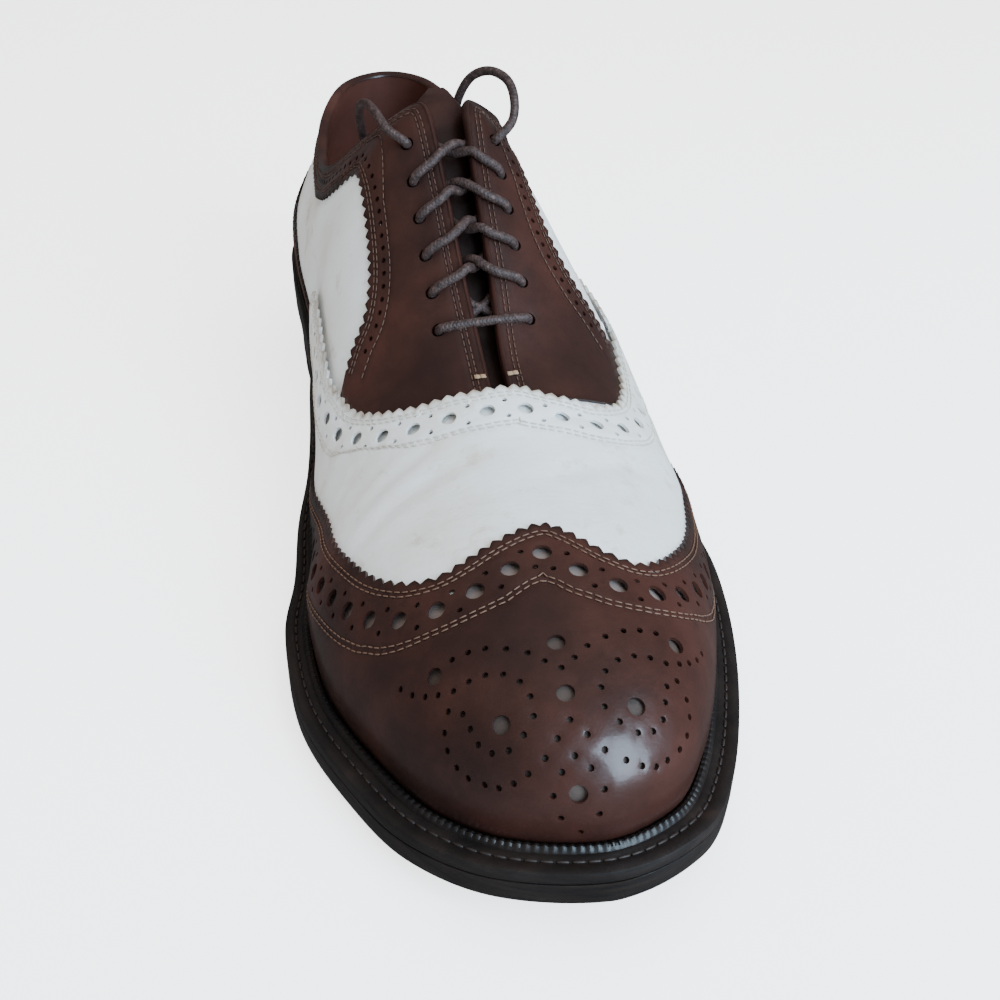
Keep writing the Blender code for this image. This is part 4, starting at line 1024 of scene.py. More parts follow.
FACING_LOW = 0.06 * MM
BACK_SEAM = 0.06
EDGE_SHARE = 0.992
FACING_HIDDEN = (
    (9.35, 0.975), (9.5, 0.86), (9.5, 0.74), (9.4, 0.60), (9.15, 0.50), (8.75, 0.43), (8.35, 0.41),
)
FACING_EDGE = {
    "outer": (
        (8.15, 0.44), (7.95, 0.50), (7.8, 0.56), (7.5, 0.60), (7.1, 0.62), (6.5, 0.63), (5.95, 0.635),
        (5.4, 0.65), (5.05, 0.66), (4.7, 0.67), (4.35, 0.71), (3.9, 0.76), (3.0, 0.79), (2.0, 0.80),
        (1.0, 0.81), (BACK_SEAM, 0.815),
    ),
    "inner": (
        (8.25, 0.48), (8.0, 0.55), (7.8, 0.61), (7.5, 0.655), (7.1, 0.675), (6.5, 0.67), (5.95, 0.66),
        (5.4, 0.66), (5.05, 0.665), (4.7, 0.68), (4.35, 0.72), (3.9, 0.76), (3.0, 0.79), (2.0, 0.80),
        (1.0, 0.81), (BACK_SEAM, 0.815),
    ),
}
FACING_SEAMS = (2.4 * MM, 3.4 * MM, 7.4 * MM)
FACING_DOTS = 5.4 * MM
DOT_PITCH = 3.6 * MM
DOT_RADIUS = 0.75 * MM
SLIT_SEAMS = (1.9 * MM, 3.1 * MM)


def mapped(places):
    """The same places on the inner side."""
    return [(ROWS - row, share) for row, share in places]


def level(height):
    return lambda flat: np.full(len(flat), height)


facing_outlines = []
for side in ("outer", "inner"):
    edge_rows = np.append(np.arange(BACK_SEAM, THROAT_ROW, 0.08), (9.06, 9.14, 9.22, 9.3))
    at = edge_rows if side == "outer" else ROWS - edge_rows
    top = list(zip(edge_rows, EDGE_SHARE * slit_share(at)))
    if side == "outer":
        lower = rounded(chart_places(FACING_EDGE[side][::-1]), 6)
        front, top = rounded(chart_places(FACING_HIDDEN[::-1])), chart_places(top[::-1])
        outline = np.vstack([pinked(wall_chart, lower)[:-1], front, top])
    else:
        lower = rounded(chart_places(mapped(FACING_EDGE[side])), 6)
        front, top = rounded(chart_places(mapped(FACING_HIDDEN))), chart_places(mapped(top))
        outline = np.vstack([pinked(wall_chart, lower)[:-1], top, front])
    facing_outlines.append(outline)
    seams = [beside(wall_chart, lower, away) for away in FACING_SEAMS]
    seams += [beside(wall_chart, top, away) for away in SLIT_SEAMS]
    dots = measured(wall_chart, beside(wall_chart, lower, FACING_DOTS), DOT_PITCH)[2:-2]
    holes = [(spot, DOT_RADIUS) for spot in dots]
    holes += [(chart_places([place])[0], EYELET_RADIUS) for place in eyelets[side]]
    sewn(f"facing_{side}", "calf", wall_chart, outline, level(FACING_LOW), seams, holes, brown_calf,
         brown_thread, "brown_calf", f"facing_{side}")

TACK_ROW = 9.08
TACK_GIRTHS = (2.7 * MM, 5.5 * MM)
TACK_HEIGHT = 1.12 * MM
TACK_APART = 0.5 * MM
TACK_UP = (0.0, -0.5, 0.87)
TACK_LONG = 1.5 * MM
TACK_THICK = 0.62 * MM
tack = []
for row in (TACK_ROW, ROWS - TACK_ROW):
    ends = [on_last(row, share_at(row, girth), TACK_HEIGHT) for girth in TACK_GIRTHS]
    for shift in (-TACK_APART, 0.0, TACK_APART):
        line = np.linspace(*ends, 3) + (0.0, shift, 0.0)
        middles = (line[1:] + line[:-1]) / 2
        tack.append((middles, unit(line[1:] - line[:-1]), np.tile(TACK_UP, (2, 1))))
stitched("throat_tack_stitches", tack, tan_thread, "brown_calf", long=TACK_LONG, thick=TACK_THICK)

# Top line and slit edge
# The facings' and the band's upper edge, folded over and in, a soft roll of brown calf that wears dark. It
# runs from the throat up the slit, round the back of the heel and down the slit's other side.

ROLL_HALF_THICK = 1.62 * MM
ROLL_HALF_HIGH = 0.85 * MM
ROLL_HEIGHT = -0.48 * MM
ROLL_SIDES = 14
roll_rows = np.arange(-THROAT_ROW - 0.28, THROAT_ROW + 0.30, 1 / 14)
roll_middle = on_last(roll_rows, 0.994 * slit_share(roll_rows), ROLL_HEIGHT)
roll_out = normal_on_last(roll_rows, np.full(len(roll_rows), 0.985))
roll_along = unit(np.gradient(roll_middle, axis=0))
roll_up = unit(np.cross(roll_out, roll_along))
turn = np.linspace(0, 2 * math.pi, ROLL_SIDES, endpoint=False)
points = [middle + out * math.cos(v) * ROLL_HALF_THICK + up * math.sin(v) * ROLL_HALF_HIGH
          for middle, out, up in zip(roll_middle, roll_out, roll_up) for v in turn]
roll = new_piece("topline_fold", points, ring_faces(len(roll_rows), ROLL_SIDES, capped=True), brown_calf,
                 "brown_calf")
turn_out(roll)

# Vamp
# White calf over the facings' front, its upper edge pinked and brogued: two rows of stitches, large and small
# punched holes, and two more rows of stitches. It runs back along the quarters and under the wing cap.

VAMP_EDGE = {
    "outer": (
        (9.25, 1.0), (9.3, 0.91), (9.3, 0.83), (9.3, 0.75), (9.25, 0.68), (9.05, 0.57), (8.75, 0.48),
        (8.35, 0.42), (7.95, 0.37), (7.3, 0.345), (6.6, 0.32), (6.05, 0.30), (5.5, 0.25), (5.1, 0.17),
        (4.9, 0.09), (4.85, 0.016),
    ),
    "inner": (
        (9.3, 0.94), (9.45, 0.87), (9.55, 0.79), (9.6, 0.72), (9.5, 0.63), (9.25, 0.57), (8.8, 0.52),
        (8.35, 0.49), (7.95, 0.45), (7.3, 0.41), (6.6, 0.37), (6.05, 0.34), (5.5, 0.28), (5.1, 0.19),
        (4.9, 0.10), (4.85, 0.016),
    ),
}
WING_EDGE = {
    "outer": (
        (7.2, 0.016), (7.9, 0.07), (8.6, 0.14), (9.2, 0.20), (9.9, 0.28), (10.7, 0.36), (11.35, 0.44),
        (11.7, 0.50), (11.95, 0.57), (12.08, 0.64), (12.1, 0.70), (12.0, 0.78), (11.85, 0.87),
        (11.75, 0.94), (11.7, 1.0),
    ),
    "inner": (
        (7.6, 0.016), (8.3, 0.08), (9.2, 0.18), (10.0, 0.26), (10.7, 0.32), (11.25, 0.38), (11.7, 0.46),
        (12.05, 0.56), (12.25, 0.65), (12.32, 0.74), (12.2, 0.83), (11.95, 0.91), (11.78, 0.96),
    ),
}
UNDER_CAP = 0.27
FOOT_SHARE = 0.016
VAMP_SEAMS = (2.5 * MM, 3.7 * MM, 12.6 * MM, 13.8 * MM)
VAMP_BAND = 7.9 * MM
VAMP_PITCH = 9.2 * MM
VAMP_HOLE = 1.95 * MM
VAMP_BAND_MIDDLE = (9.6, 1.0)
VAMP_BAND_ENDS = 22 * MM
VAMP_SLOPE = (9 * MM, 21 * MM)
VAMP_HEIGHTS = (1.08 * MM, 0.12 * MM)
SMALL_HOLE = 0.68 * MM
SMALL_APART = 2.7 * MM


def foot_line(start, stop):
    rows = np.linspace(start, stop, max(2, round(abs(stop - start) / 0.08)))
    return lay_out([(row, FOOT_SHARE) for row in rows])


def sloping(chart, edge, near, far, high, low):
    """Height of a panel that lies high near an edge and comes down to low away from it."""
    solid = on_last(*chart(measured(chart, edge, MM)))

    def height(flat):
        share = np.clip((nearest(on_last(*chart(flat)), solid)[1] - near) / (far - near), 0, 1)
        return high + (low - high) * share * share * (3 - 2 * share)
    return height


def brogue_band(chart, edge, middle, away, pitch, offset, big, ends):
    """Large holes in a row beside an edge, both ways from its middle, with small ones between them."""
    band = beside(chart, edge, away)
    fine = measured(chart, band, 0.5 * MM)
    run = lengths(on_last(*chart(fine)))
    centre = run[np.linalg.norm(fine - middle, axis=1).argmin()]
    left = leftward(chart, fine)
    holes = []
    first, last = math.ceil((run[0] + ends - centre) / pitch), math.floor((run[-1] - ends - centre) / pitch)
    for k in range(first, last + 1):
        large, small = centre + (k + offset) * pitch, centre + (k + offset + 0.5) * pitch
        holes.append((at_runs(fine, run, large), big))
        spot, side_step = at_runs(fine, run, small), at_runs(left, run, small)
        holes += [(spot + side_step * shift, SMALL_HOLE) for shift in (-SMALL_APART, SMALL_APART)]
    return holes


wing_edge = rounded(lay_out(mapped(WING_EDGE["inner"]) + list(WING_EDGE["outer"][::-1])), 5)
vamp_edge = rounded(lay_out(mapped(VAMP_EDGE["inner"][::-1]) + list(VAMP_EDGE["outer"])), 5)
shifted = {side: [(row + UNDER_CAP, share) for row, share in places] for side, places in WING_EDGE.items()}
under_cap = rounded(lay_out(shifted["outer"] + mapped(shifted["inner"][::-1])), 4)
vamp_outline = np.vstack([
    foot_line(VAMP_EDGE["outer"][-1][0], shifted["outer"][0][0])[1:-1], under_cap,
    foot_line(ROWS - shifted["inner"][0][0], ROWS - VAMP_EDGE["inner"][-1][0])[1:-1],
    pinked(pattern_chart, vamp_edge),
])
vamp_seams = [beside(pattern_chart, vamp_edge, away) for away in VAMP_SEAMS]
vamp_height = sloping(pattern_chart, vamp_edge, *VAMP_SLOPE, *VAMP_HEIGHTS)
vamp_holes = brogue_band(pattern_chart, vamp_edge, lay_out([VAMP_BAND_MIDDLE])[0], VAMP_BAND, VAMP_PITCH, 0.5,
                         VAMP_HOLE, VAMP_BAND_ENDS)
sewn("vamp", "white", pattern_chart, vamp_outline, vamp_height, vamp_seams, vamp_holes, white_calf,
     white_thread, "white_calf")

# Wing cap
# Brown calf with a pinked, brogued edge that comes to a peak over the vamp, and a medallion of punched holes
# on the toe. Stitched through the vamp by two pairs of rows, and polished until it reflects.

CAP_SEAMS = (2.9 * MM, 4.0 * MM, 14.6 * MM, 15.8 * MM)
CAP_BAND = 9.3 * MM
CAP_PITCH = 8.8 * MM
CAP_HOLE = 2.05 * MM
CAP_PEAK = (11.95, 1.0)
BAND_ENDS = 12 * MM
CAP_SLOPE = (8 * MM, 32 * MM)
CAP_HEIGHTS = (1.16 * MM, 0.25 * MM)

# The medallion from the toe's middle: half of it, across and down in mm, mirrored over its axis.
MEDALLION_MIDDLE = (-5.0, -127.5)
MEDALLION_TURN = -0.09
MEDALLION_RADIUS = 1.85 * MM
MEDALLION_LARGE = ((0, -11.5), (0, 0), (0, 19), (13.5, 3.5), (25.5, -12.5))
MEDALLION_SMALL = (
    (0, -5.5), (3, -7.5), (6, -10), (10, -12), (14, -13.5), (17.5, -14), (21, -14),
    (7, -0.5), (8.5, -4), (11.5, -6.5), (15, -7.5), (18.5, -7.5), (22, -7), (25.5, -8), (28.5, -9.5),
    (31.5, -12), (34, -15.5),
    (0, 5.4), (3, 8.5), (6, 11.5), (10, 13.5), (13.5, 14.5), (17, 14.5), (20, 13), (23.5, 10.5),
    (25.5, 7.5), (26.5, 3.5), (26, 0), (24, -3.5),
    (7, 3.5), (9.5, 6.5), (13, 8.5), (16.5, 8), (19, 5.5), (20, 2), (21, -1.5),
    (0, 12), (3, 14.5), (5.5, 18.5), (4.5, 23.5), (0, 28),
)


def medallion(spots, radius):
    right = np.array((math.cos(MEDALLION_TURN), math.sin(MEDALLION_TURN)))
    down = np.array((math.sin(MEDALLION_TURN), -math.cos(MEDALLION_TURN)))
    found = []
    for across, along in spots:
        for way in ((1, -1) if across else (1,)):
            spot = (np.array(MEDALLION_MIDDLE) + right * across * way + down * along) * MM
            found.append((spot, radius))
    return found


cap_outline = np.vstack([foot_line(WING_EDGE["outer"][0][0], ROWS - WING_EDGE["inner"][0][0])[1:-1],
                         pinked(pattern_chart, wing_edge)])
cap_seams = [beside(pattern_chart, wing_edge, away) for away in CAP_SEAMS]
cap_height = sloping(pattern_chart, wing_edge, *CAP_SLOPE, *CAP_HEIGHTS)
cap_holes = brogue_band(pattern_chart, wing_edge, lay_out([CAP_PEAK])[0], CAP_BAND, CAP_PITCH, 0.0,
                        CAP_HOLE, BAND_ENDS)
cap_holes += medallion(MEDALLION_LARGE, MEDALLION_RADIUS) + medallion(MEDALLION_SMALL, SMALL_HOLE)
sewn("wing_cap", "calf", pattern_chart, cap_outline, cap_height, cap_seams, cap_holes, brown_calf,
     golden_thread, "brown_calf", "wing_cap")

# Counter
# Brown calf round the back of the heel, pinked, stitched and brogued like the cap, with its point at the back
# seam.

COUNTER_EDGE = (
    (0.0, 0.60), (0.8, 0.57), (1.6, 0.49), (2.3, 0.36), (3.1, 0.22), (3.9, 0.12), (4.4, 0.07), (4.7, 0.016),
)
COUNTER_SEAMS = (2.5 * MM, 3.5 * MM, 10.4 * MM)
COUNTER_BAND = 7.0 * MM
COUNTER_HOLE = 1.5 * MM
COUNTER_PEAK = (0.0, 0.55)
edge = list(COUNTER_EDGE[::-1]) + [(-row, share) for row, share in COUNTER_EDGE[1:]]
counter_edge = rounded(chart_places(edge), 6)
foot_rows = np.linspace(-COUNTER_EDGE[-1][0], COUNTER_EDGE[-1][0], 120)[1:-1]
counter_outline = np.vstack([chart_places([(row, FOOT_SHARE) for row in foot_rows]),
                             pinked(wall_chart, counter_edge)])
counter_seams = [beside(wall_chart, counter_edge, away) for away in COUNTER_SEAMS]
counter_holes = brogue_band(wall_chart, counter_edge, chart_places([COUNTER_PEAK])[0], COUNTER_BAND,
                            COUNTER_BAND, 0.0, COUNTER_HOLE, BAND_ENDS)
sewn("heel_counter", "calf", wall_chart, counter_outline, level(FACING_LOW), counter_seams, counter_holes,
     brown_calf, golden_thread, "brown_calf", "heel_counter")

# The quarters' faces that the punched holes look down on, coloured as painted shade in the holes: grey under
# the cap, lighter in its band than in the medallion, and brown calf under facings and counter.
MEDALLION_SHADE_FROM_EDGE = 17.0 * MM
HOLE_SHADE_INSET = 2.4 * MM
cap_rows = np.linspace(WING_EDGE["outer"][0][0], ROWS - WING_EDGE["inner"][0][0], 200)
plan = np.vstack([on_last(*pattern_chart(wing_edge))[:, :2], edge_points(cap_rows)[0]])
centres = np.array([face.center for face in quarters.data.polygons])
from_edge = nearest(centres, on_last(*pattern_chart(measured(pattern_chart, wing_edge, MM))))[1]
under_cap = within(plan, centres[:, :2])
shade_index = under_cap.astype(int) + (under_cap & (from_edge > MEDALLION_SHADE_FROM_EDGE))
coarse = skin[::2, ::2]
found = nearest(centres, coarse.reshape(-1, 3).tolist())[0]
rows = grid_rows[::2][found // coarse.shape[1]]
shares = grid_shares[::2][found % coarse.shape[1]]
for outline, turned in ((facing_outlines[0], rows), (facing_outlines[1], rows),
                        (counter_outline, (rows + ROWS / 2) % ROWS - ROWS / 2)):
    inset = nearest(on_last(rows, shares), on_last(*wall_chart(outline)))[1] > HOLE_SHADE_INSET
    shade_index[within(outline, chart_places(np.column_stack([turned, shares]))) & inset] = 3
for material in (hole_shade_grey, hole_shade_dark, brown_calf):
    quarters.data.materials.append(material)
for face, index in zip(quarters.data.polygons, shade_index.tolist()):
    face.material_index = index

# Tongue
# Brown calf, stitched under the vamp and free above it, hollowed by the laces, its top edge over the facings.

UPPER_WALL = 0.0020
TONGUE_THICK = 0.0022
TONGUE_HALF_WIDTH = 0.027
TONGUE_ABOVE_FACING = 0.013
LACE_RADIUS = 0.00125
LACE_CLEAR = 0.0005
TONGUE_ROWS = (10.2, 6.2)
TONGUE_RINGS = 34
TONGUE_TOP_RINGS = 12
TONGUE_TOP_NARROWS = 0.80
LACING_SHADE = 1.8
LACING_SHADE_FADES = 4 * MM
seat_depth = UPPER_WALL + 2 * SEAT_GAP + TONGUE_THICK / 2
lace_depth = UPPER_WALL + 2 * LACE_RADIUS + 2 * LACE_CLEAR + TONGUE_THICK / 2
tongue_shares = np.array((1.0, 0.9, 0.78, 0.64, 0.5, 0.36, 0.22, 0.09))
rings = []
for row in np.linspace(*TONGUE_ROWS, TONGUE_RINGS):
    depth = seat_depth + (lace_depth - seat_depth) * min(max((THROAT_ROW + 0.5 - row) / 0.9, 0.0), 1.0)
    run = []
    for high in (TONGUE_THICK / 2 - depth, -TONGUE_THICK / 2 - depth):
        outer, inner = ([on_last(at, share_at(at, TONGUE_HALF_WIDTH * share), high)
                         for share in tongue_shares] for at in (row, ROWS - row))
        across = outer + inner[::-1]
        run += across if not run else across[::-1]
    rings.append(np.array(run))
low, high = top_points(THROAT_ROW), top_points(FACING_TOP_ROW)
climb = unit(np.array((0.0, high[1] - low[1], high[2] - low[2])))
final = rings[-1]
middle = final.mean(axis=0)
for share in np.sin(np.linspace(0.12, math.pi / 2, TONGUE_TOP_RINGS)):
    narrow = (1.0 - TONGUE_TOP_NARROWS * share ** 4) ** 0.5
    ring = final + climb * TONGUE_ABOVE_FACING * share
    ring[:, 0] = middle[0] + (final[:, 0] - middle[0]) * narrow
    rings.append(ring)
size = len(rings[0])
tongue = new_piece("tongue_calf", np.vstack(rings), ring_faces(len(rings), size, capped=True), brown_calf,
                   "brown_calf", "tongue")
turn_out(tongue)
# The tongue is darkened where it lies in the slit under the lacing, fading out past the facings' top: painted
# shade.
behind = np.array([vertex.co.y for vertex in tongue.data.vertices]) - high[1]
lacing_shade = np.clip((LACING_SHADE_FADES - behind) / (2 * LACING_SHADE_FADES), 0, 1)
mark = tongue.data.attributes.new("wear_and_shade", "FLOAT", "POINT")
mark.data.foreach_set("value", (LACING_SHADE * lacing_shade).astype(np.float32))

# Laces
# Round waxed cotton, dark brown, 2.5 mm thick. A bar lies over the throat; each half then goes in turn out of
# an eyelet, over the facing's edge into the slit and under the other facing, up to the top pair.

LACE_SIDES = 14


BRAID_STEP = 0.95
BRAID_STRANDS = 5.0
LACE_FRAY = 1.1111 * MM


def waxed_lace():
    """Braided cotton: two crossed sets of strands pressed round, dulled by wax and dust."""
    made, shader, place = new_material("waxed_cotton_lace")
    spot = node(made, "ShaderNodeUVMap").outputs[0]
    heights = []
    for slant in (1.0, -1.0):
        turned = node(made, "ShaderNodeVectorMath", {0: spot}, operation="DOT_PRODUCT")
        turned.inputs[1].default_value = (1 / BRAID_STEP, slant * BRAID_STRANDS, 0.0)
        wave = node(made, "ShaderNodeMath", {0: turned.outputs["Value"]}, operation="MULTIPLY")
        wave.inputs[1].default_value = 2 * math.pi
        heights.append(node(made, "ShaderNodeMath", {0: wave.outputs[0]}, operation="SINE").outputs[0])
    braid = node(made, "ShaderNodeMath", {0: heights[0], 1: heights[1]}, operation="MAXIMUM")
    fray = node(made, "ShaderNodeTexNoise", {"Vector": place}, Scale=1 / LACE_FRAY, Detail=4.0)
    shade = node(made, "ShaderNodeValToRGB", {"Fac": fray.outputs[0]},
                 tones((0.3, "#271b18"), (0.6, "#42312d"), (0.8, "#65514a")))
    link(made, shade.outputs["Color"], shader, "Base Color")
    relief = node(made, "ShaderNodeBump", {"Height": braid.outputs[0]}, Strength=0.6, Distance=0.09 * MM)
    relief = node(made, "ShaderNodeBump", {"Height": fray.outputs[0], "Normal": relief.outputs[0]},
                  Strength=0.4, Distance=0.08 * MM)
    link(made, relief.outputs[0], shader, "Normal")
    shader.inputs["Roughness"].default_value = 0.6
    return made


lace_cotton = waxed_lace()


def smooth_route(stops, step=0.5 * MM):
    """A rounded route through 3-D stops, in even steps."""
    stops = np.asarray(stops, float)
    padded = np.vstack([2 * stops[0] - stops[1], stops, 2 * stops[-1] - stops[-2]])
    fine = []
    for a, b, c, d in zip(padded, padded[1:], padded[2:], padded[3:]):
        chords = [np.linalg.norm(chord) for chord in (b - a, c - b, d - c)]
        spans = np.sqrt(np.maximum(chords, 1e-9))
        m1 = (c - b) + spans[1] * ((b - a) / spans[0] - (c - a) / (spans[0] + spans[1]))
        m2 = (c - b) + spans[1] * ((d - c) / spans[2] - (d - b) / (spans[1] + spans[2]))
        t = (np.arange(12) / 12)[:, None]
        fine.append(hermite(b, c, m1, m2, t))
    fine = np.vstack([*fine, stops[-1:]])
    run = lengths(fine)
    return at_runs(fine, run, np.linspace(0, run[-1], max(2, round(run[-1] / step)) + 1))


def lace_tube(name, stops, *replaced):
    """A round lace along a route, its UV map in mm along it and in turns round it."""
    route = smooth_route(stops)
    ahead = unit(np.gradient(route, axis=0))
    sideways = unit(np.cross(ahead[0], (0.3, 0.2, 1.0)))
    points = []
    for place, way in zip(route, ahead):
        sideways = unit(sideways - way * (sideways @ way))
        other = np.cross(way, sideways)
        points += [place + LACE_RADIUS * (sideways * math.cos(v) + other * math.sin(v))
                   for v in np.linspace(0, 2 * math.pi, LACE_SIDES, endpoint=False)]
    piece = new_piece(name, points, ring_faces(len(route), LACE_SIDES, capped=True), lace_cotton,
                      "waxed_cotton", *replaced, angle=60)
    run = lengths(route) / MM
    layer = piece.data.uv_layers.new(name="along_and_round")
    for face in piece.data.polygons:
        rounds = [piece.data.loops[k].vertex_index % LACE_SIDES for k in face.loop_indices]
        wraps = max(rounds) - min(rounds) > LACE_SIDES / 2
        for k, turn in zip(face.loop_indices, rounds):
            vertex = piece.data.loops[k].vertex_index
            layer.data[k].uv = (run[vertex // LACE_SIDES], (turn + (LACE_SIDES if wraps and turn == 0 else 0))
                                / LACE_SIDES)
    return piece, route


def at_eyelet(place, high):
    return on_last(place[0], place[1], high * MM)


def towards(place, other, share, high, girth):
    """Over or under the slit's edge of one side, on the way to an eyelet of the other side."""
    mirrored_row = ROWS - other[0]
    row = place[0] + (mirrored_row - place[0]) * share
    return on_last(row, share_at(row, girth * MM), high * MM)


def crossing(start, end, above):
    """Out of one hole, over the edge, through the slit and under the other facing to the next hole."""
    leave = towards(start, end, 0.14, 2.5, 2.6)
    edge_over = towards(start, end, 0.30, 2.0, 0.3)
    edge_under = towards(end, start, 0.30, -3.0, 0.8)
    middle = (edge_over + edge_under) / 2 + np.array((0.0, 0.0, 1.0)) * (1.3 if above else -1.1) * MM
    come = towards(end, start, 0.12, -3.5, 3.0)
    return [at_eyelet(start, 0.4), at_eyelet(start, 1.9) * 0.75 + leave * 0.25, leave, edge_over, middle,
            edge_under, come, at_eyelet(end, -2.2), at_eyelet(end, 0.0)]


def strand(first, second, above):
    stops = [eyelets[(first, second)[k % 2]][k] for k in range(LACE_ROWS)]
    route = []
    for start, end in zip(stops[1:], stops[2:]):
        route += crossing(start, end, above)[:-1]
    return stops, route


bar_middle = (at_eyelet(eyelets["outer"][0], 2.9) + at_eyelet(eyelets["inner"][0], 2.9)) / 2
halves = []
for first, second, above in (("outer", "inner", True), ("inner", "outer", False)):
    stops, route = strand(first, second, above)
    begin, following = stops[0], stops[1]
    half = [at_eyelet(begin, 2.3) * 0.7 + bar_middle * 0.3, at_eyelet(begin, 1.6) * 0.93 + bar_middle * 0.07,
            at_eyelet(begin, 0.0), at_eyelet(begin, -2.4), towards(begin, following, 0.2, -3.6, 3.4),
            towards(begin, following, 0.4, -3.4, 1.0), towards(following, begin, 0.4, -3.4, 1.0),
            towards(following, begin, 0.2, -3.6, 3.2), at_eyelet(following, -2.2)]
    halves.append([*half, *route, at_eyelet(stops[-1], -0.1)])
whole = [*halves[0][::-1], bar_middle, *halves[1]]
lace_tube("lace_through_eyelets", whole, "lace_crossings")

# The two ends, from the top eyelets over the corners of the facings and down inside, in metres from above
# the eyelets.
LACE_END_STEPS = {
    "outer": (
        (-0.0038, 0.0038, 0.0020), (-0.0056, 0.0086, 0.0044), (-0.0070, 0.0144, 0.0052),
        (-0.0082, 0.0208, 0.0034), (-0.0082, 0.0270, -0.0014), (-0.0070, 0.0310, -0.0088),
        (-0.0054, 0.0330, -0.0166), (-0.0040, 0.0342, -0.0244),
    ),
    "inner": (
        (0.0038, 0.0032, 0.0026), (0.0052, 0.0072, 0.0072), (0.0044, 0.0122, 0.0108),
        (0.0008, 0.0174, 0.0120), (-0.0034, 0.0216, 0.0096), (-0.0066, 0.0244, 0.0034),
        (-0.0078, 0.0260, -0.0050), (-0.0078, 0.0268, -0.0140),
    ),
}
for side, steps in LACE_END_STEPS.items():
    place = eyelets[side][-1]
    above_it = at_eyelet(place, 3.3)
    stops = [at_eyelet(place, 0.1), at_eyelet(place, 2.0), *(above_it + np.array(step) for step in steps)]
    end, route = lace_tube(f"lace_tail_{side}", stops, f"lace_end_{side}")

# Welt
# A leather strip between upper and outsole, dyed dark, stitched through to the sole in a groove. Its storm
# ridge stands against the upper, marked all along by a ribbed wheel.

STORM_RIDGE_HIGH = 1.5 * MM
WELT_UNDER_UPPER = 0.0026
WELT_STEP = 0.5 * MM
WELT_STITCH_PITCH = 3.3 * MM
WELT_STITCH_LONG = 2.5 * MM
WELT_STITCH_THICK = 0.7 * MM
WELT_STITCH_SUNK = 0.1 * MM
WELT_EDGE = 0.7 * MM
WELT_SOFT = 0.25 * MM
WELT_JOINT = 0.2 * MM
GROOVE_DEEP = 0.35 * MM
GROOVE_HALF_WIDE = 0.6 * MM
RIDGE_OFF_UPPER = 1.55 * MM
RIDGE_WIDE = 2.3 * MM
RIB_PITCH = 2.0 * MM
fine_rows = np.linspace(0, ROWS, 6401)
outline_run = lengths(edge_points(fine_rows)[0])
ring_count = round(outline_run[-1] / WELT_STEP)
welt_run = np.linspace(0, outline_run[-1], ring_count, endpoint=False)
welt_rows = np.interp(welt_run, outline_run, fine_rows)
welt_wide = last_value("welt", welt_rows) * WELT_EXTENSION
ribs = round(outline_run[-1] / RIB_PITCH)
ripple = np.abs(np.sin(math.pi * ribs * welt_run / outline_run[-1])) ** 0.6
ridge_share = np.clip((last_value("welt", welt_rows) - 0.30) / 0.25, 0.25, 1.0)
ridge_in = welt_wide - RIDGE_OFF_UPPER
ridge_out = np.maximum(ridge_in - RIDGE_WIDE * ridge_share, welt_wide * 0.25)
stitch_line = (ridge_out + 0.9 * MM) / 2 * 1.05
groove = GROOVE_DEEP * ridge_share
groove_wide = GROOVE_HALF_WIDE * ridge_share
ridge_high = STORM_RIDGE_HIGH * ridge_share
profile = [
    (0.0, WELT_JOINT), (0.0, WELT_THICK - WELT_EDGE), (0.25 * WELT_EDGE, WELT_THICK - 0.3 * WELT_EDGE),
    (WELT_EDGE, WELT_THICK), (stitch_line - groove_wide, WELT_THICK), (stitch_line, WELT_THICK - groove),
    (stitch_line + groove_wide, WELT_THICK), (ridge_out, WELT_THICK),
    (ridge_out * 0.82 + ridge_in * 0.18, WELT_THICK + ridge_high * (0.25 + 0.40 * ripple)),
    (ridge_out * 0.55 + ridge_in * 0.45, WELT_THICK + ridge_high * (0.42 + 0.58 * ripple)),
    (ridge_out * 0.22 + ridge_in * 0.78, WELT_THICK + ridge_high * (0.42 + 0.48 * ripple)),
    (ridge_in, WELT_THICK), (welt_wide + WELT_UNDER_UPPER, WELT_THICK - WELT_SOFT),
    (welt_wide + WELT_UNDER_UPPER, 0.0), (WELT_JOINT, 0.0),
]
rings = []
for inward, up in profile:
    plan, _ = edge_points(welt_rows, inward + 0 * welt_wide)
    rings.append(np.column_stack([plan, outsole_top(plan[:, 1]) + SEAT_GAP + up]))
points = np.stack(rings, axis=1).reshape(-1, 3)
welt_leather = edge_leather("welt_dyed_leather", 0.25)
welt = new_piece("welt_leather", points, ring_faces(ring_count, len(profile), round_and_round=True),
                 welt_leather, "dark_edge_leather", "welt")
turn_out(welt)
dark_thread = thread("waxed_linen_welt_thread", "#2e2420")
count = round(outline_run[-1] / WELT_STITCH_PITCH)
at = np.interp(np.arange(count + 1) * outline_run[-1] / count, outline_run, fine_rows)
plan, _ = edge_points(at, np.interp(at, welt_rows, stitch_line, period=ROWS))
line = np.column_stack([plan, outsole_top(plan[:, 1]) + SEAT_GAP + WELT_THICK - WELT_STITCH_SUNK])
middles = (line[1:] + line[:-1]) / 2
shown = last_value("welt", (at[1:] + at[:-1]) / 2) > 0.42
ahead = unit(line[1:] - line[:-1])
upwards = np.tile((0.0, 0.0, 1.0), (len(middles), 1))
stitched("welt_stitches", [(middles[shown], ahead[shown], upwards[shown])], dark_thread, "dark_edge_leather",
         long=WELT_STITCH_LONG, thick=WELT_STITCH_THICK)

# Setting: floor, light and camera
# The shoe stands on white paper in a pale room, lit by a cool window from the right, a wide soft top light
# and a little warm light from the left.

# Glow of paper and room: usual, as the camera sees it, and as the leather mirrors it.
PAPER_GLOW = (0.22, 2.2, 0.0)
ROOM_GLOW = (0.30, 2.6, 0.15)
PAPER_WIDE = 8.0


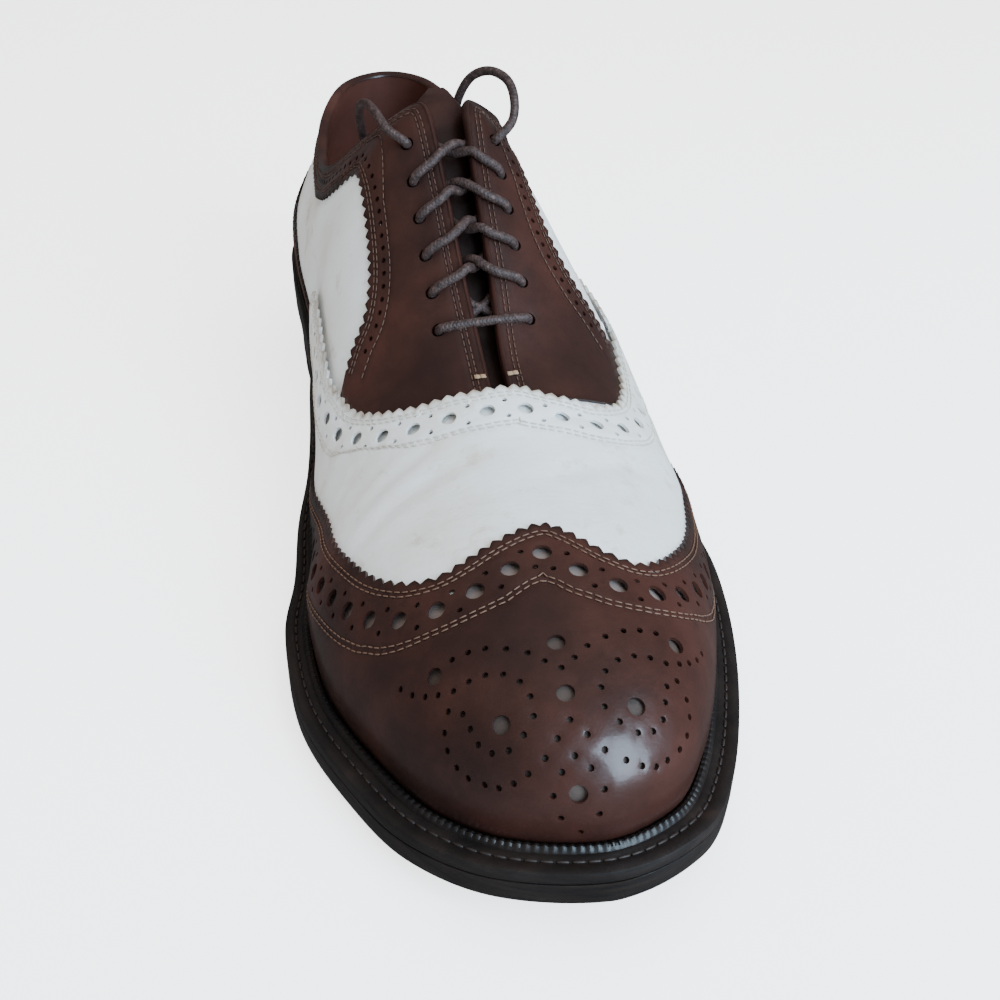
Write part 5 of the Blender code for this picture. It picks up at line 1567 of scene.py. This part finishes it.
def strength_by_ray(owner, usual, seen, mirrored):
    """A strength with values of its own for what the camera sees itself and for what the leather reflects."""
    rays = node(owner, "ShaderNodeLightPath")
    direct = node(owner, "ShaderNodeMath", {0: rays.outputs["Is Camera Ray"]}, operation="MULTIPLY_ADD")
    direct.inputs[1].default_value = seen - usual
    direct.inputs[2].default_value = usual
    either = node(owner, "ShaderNodeMath", {0: rays.outputs["Is Glossy Ray"], 2: direct.outputs[0]},
                  operation="MULTIPLY_ADD")
    either.inputs[1].default_value = mirrored - usual
    return either.outputs[0]


# Uncoated white paper: matt, and lit up to a plain white ground.
paper, shader, _ = new_material("white_paper_sheet")
shader.inputs["Base Color"].default_value = srgb("#ffffff")
shader.inputs["Roughness"].default_value = 0.95
shader.inputs["Emission Color"].default_value = (1.0, 1.0, 1.0, 1.0)
link(paper, strength_by_ray(paper, *PAPER_GLOW), shader, "Emission Strength")
bpy.ops.mesh.primitive_plane_add(size=PAPER_WIDE, location=(0, 0, 0))
floor = bpy.context.object
floor.name = "paper_floor"
floor.data.materials.append(paper)
floor.visible_glossy = False

world = bpy.context.scene.world or bpy.data.worlds.new("studio")
bpy.context.scene.world = world
world.use_nodes = True
sky = world.node_tree.nodes["Background"]
sky.inputs["Color"].default_value = (0.93, 0.96, 1.0, 1.0)
link(world, strength_by_ray(world, *ROOM_GLOW), sky, "Strength")


def soft_light(name, place, aim, size, power, colour, mirrored):
    data = bpy.data.lights.new(name, "AREA")
    data.shape = "RECTANGLE"
    data.size, data.size_y = size
    data.energy = power
    data.color = colour
    light = bpy.data.objects.new(name, data)
    bpy.context.scene.collection.objects.link(light)
    light.location = place
    light.visible_glossy = mirrored
    light.rotation_euler = (Vector(aim) - Vector(place)).to_track_quat("-Z", "Y").to_euler()


soft_light("window_right", (0.46, -0.82, 0.53), (0.0, -0.08, 0.03), (0.58, 0.86), 25.0, (0.60, 0.80, 1.0),
           True)
soft_light("wide_top", (0.25, 0.25, 1.3), (0.0, 0.0, 0.0), (1.5, 1.5), 21.0, (1.0, 1.0, 1.0), False)
soft_light("warm_left", (-1.3, 0.2, 0.9), (0.0, -0.03, 0.04), (1.2, 1.2), 4.5, (1.0, 0.84, 0.62), False)

CAMERA_PLACE = Vector((-0.0570, -0.2885, 0.2077))
CAMERA_AIM = Vector((-0.0039, -0.0655, 0.0450))
CAMERA_ROLL = math.radians(1.0)
CAMERA_LENS = 43.5
CAMERA_SENSOR = 36.0
lens = bpy.data.cameras.new("photo_camera")
lens.sensor_width = CAMERA_SENSOR
lens.lens = CAMERA_LENS
lens.clip_start = 0.01
camera = bpy.data.objects.new("photo_camera", lens)
bpy.context.scene.collection.objects.link(camera)
camera.location = CAMERA_PLACE
view = (CAMERA_AIM - CAMERA_PLACE).to_track_quat("-Z", "Y")
camera.rotation_euler = (view @ Quaternion((0.0, 0.0, 1.0), CAMERA_ROLL)).to_euler()
bpy.context.scene.camera = camera
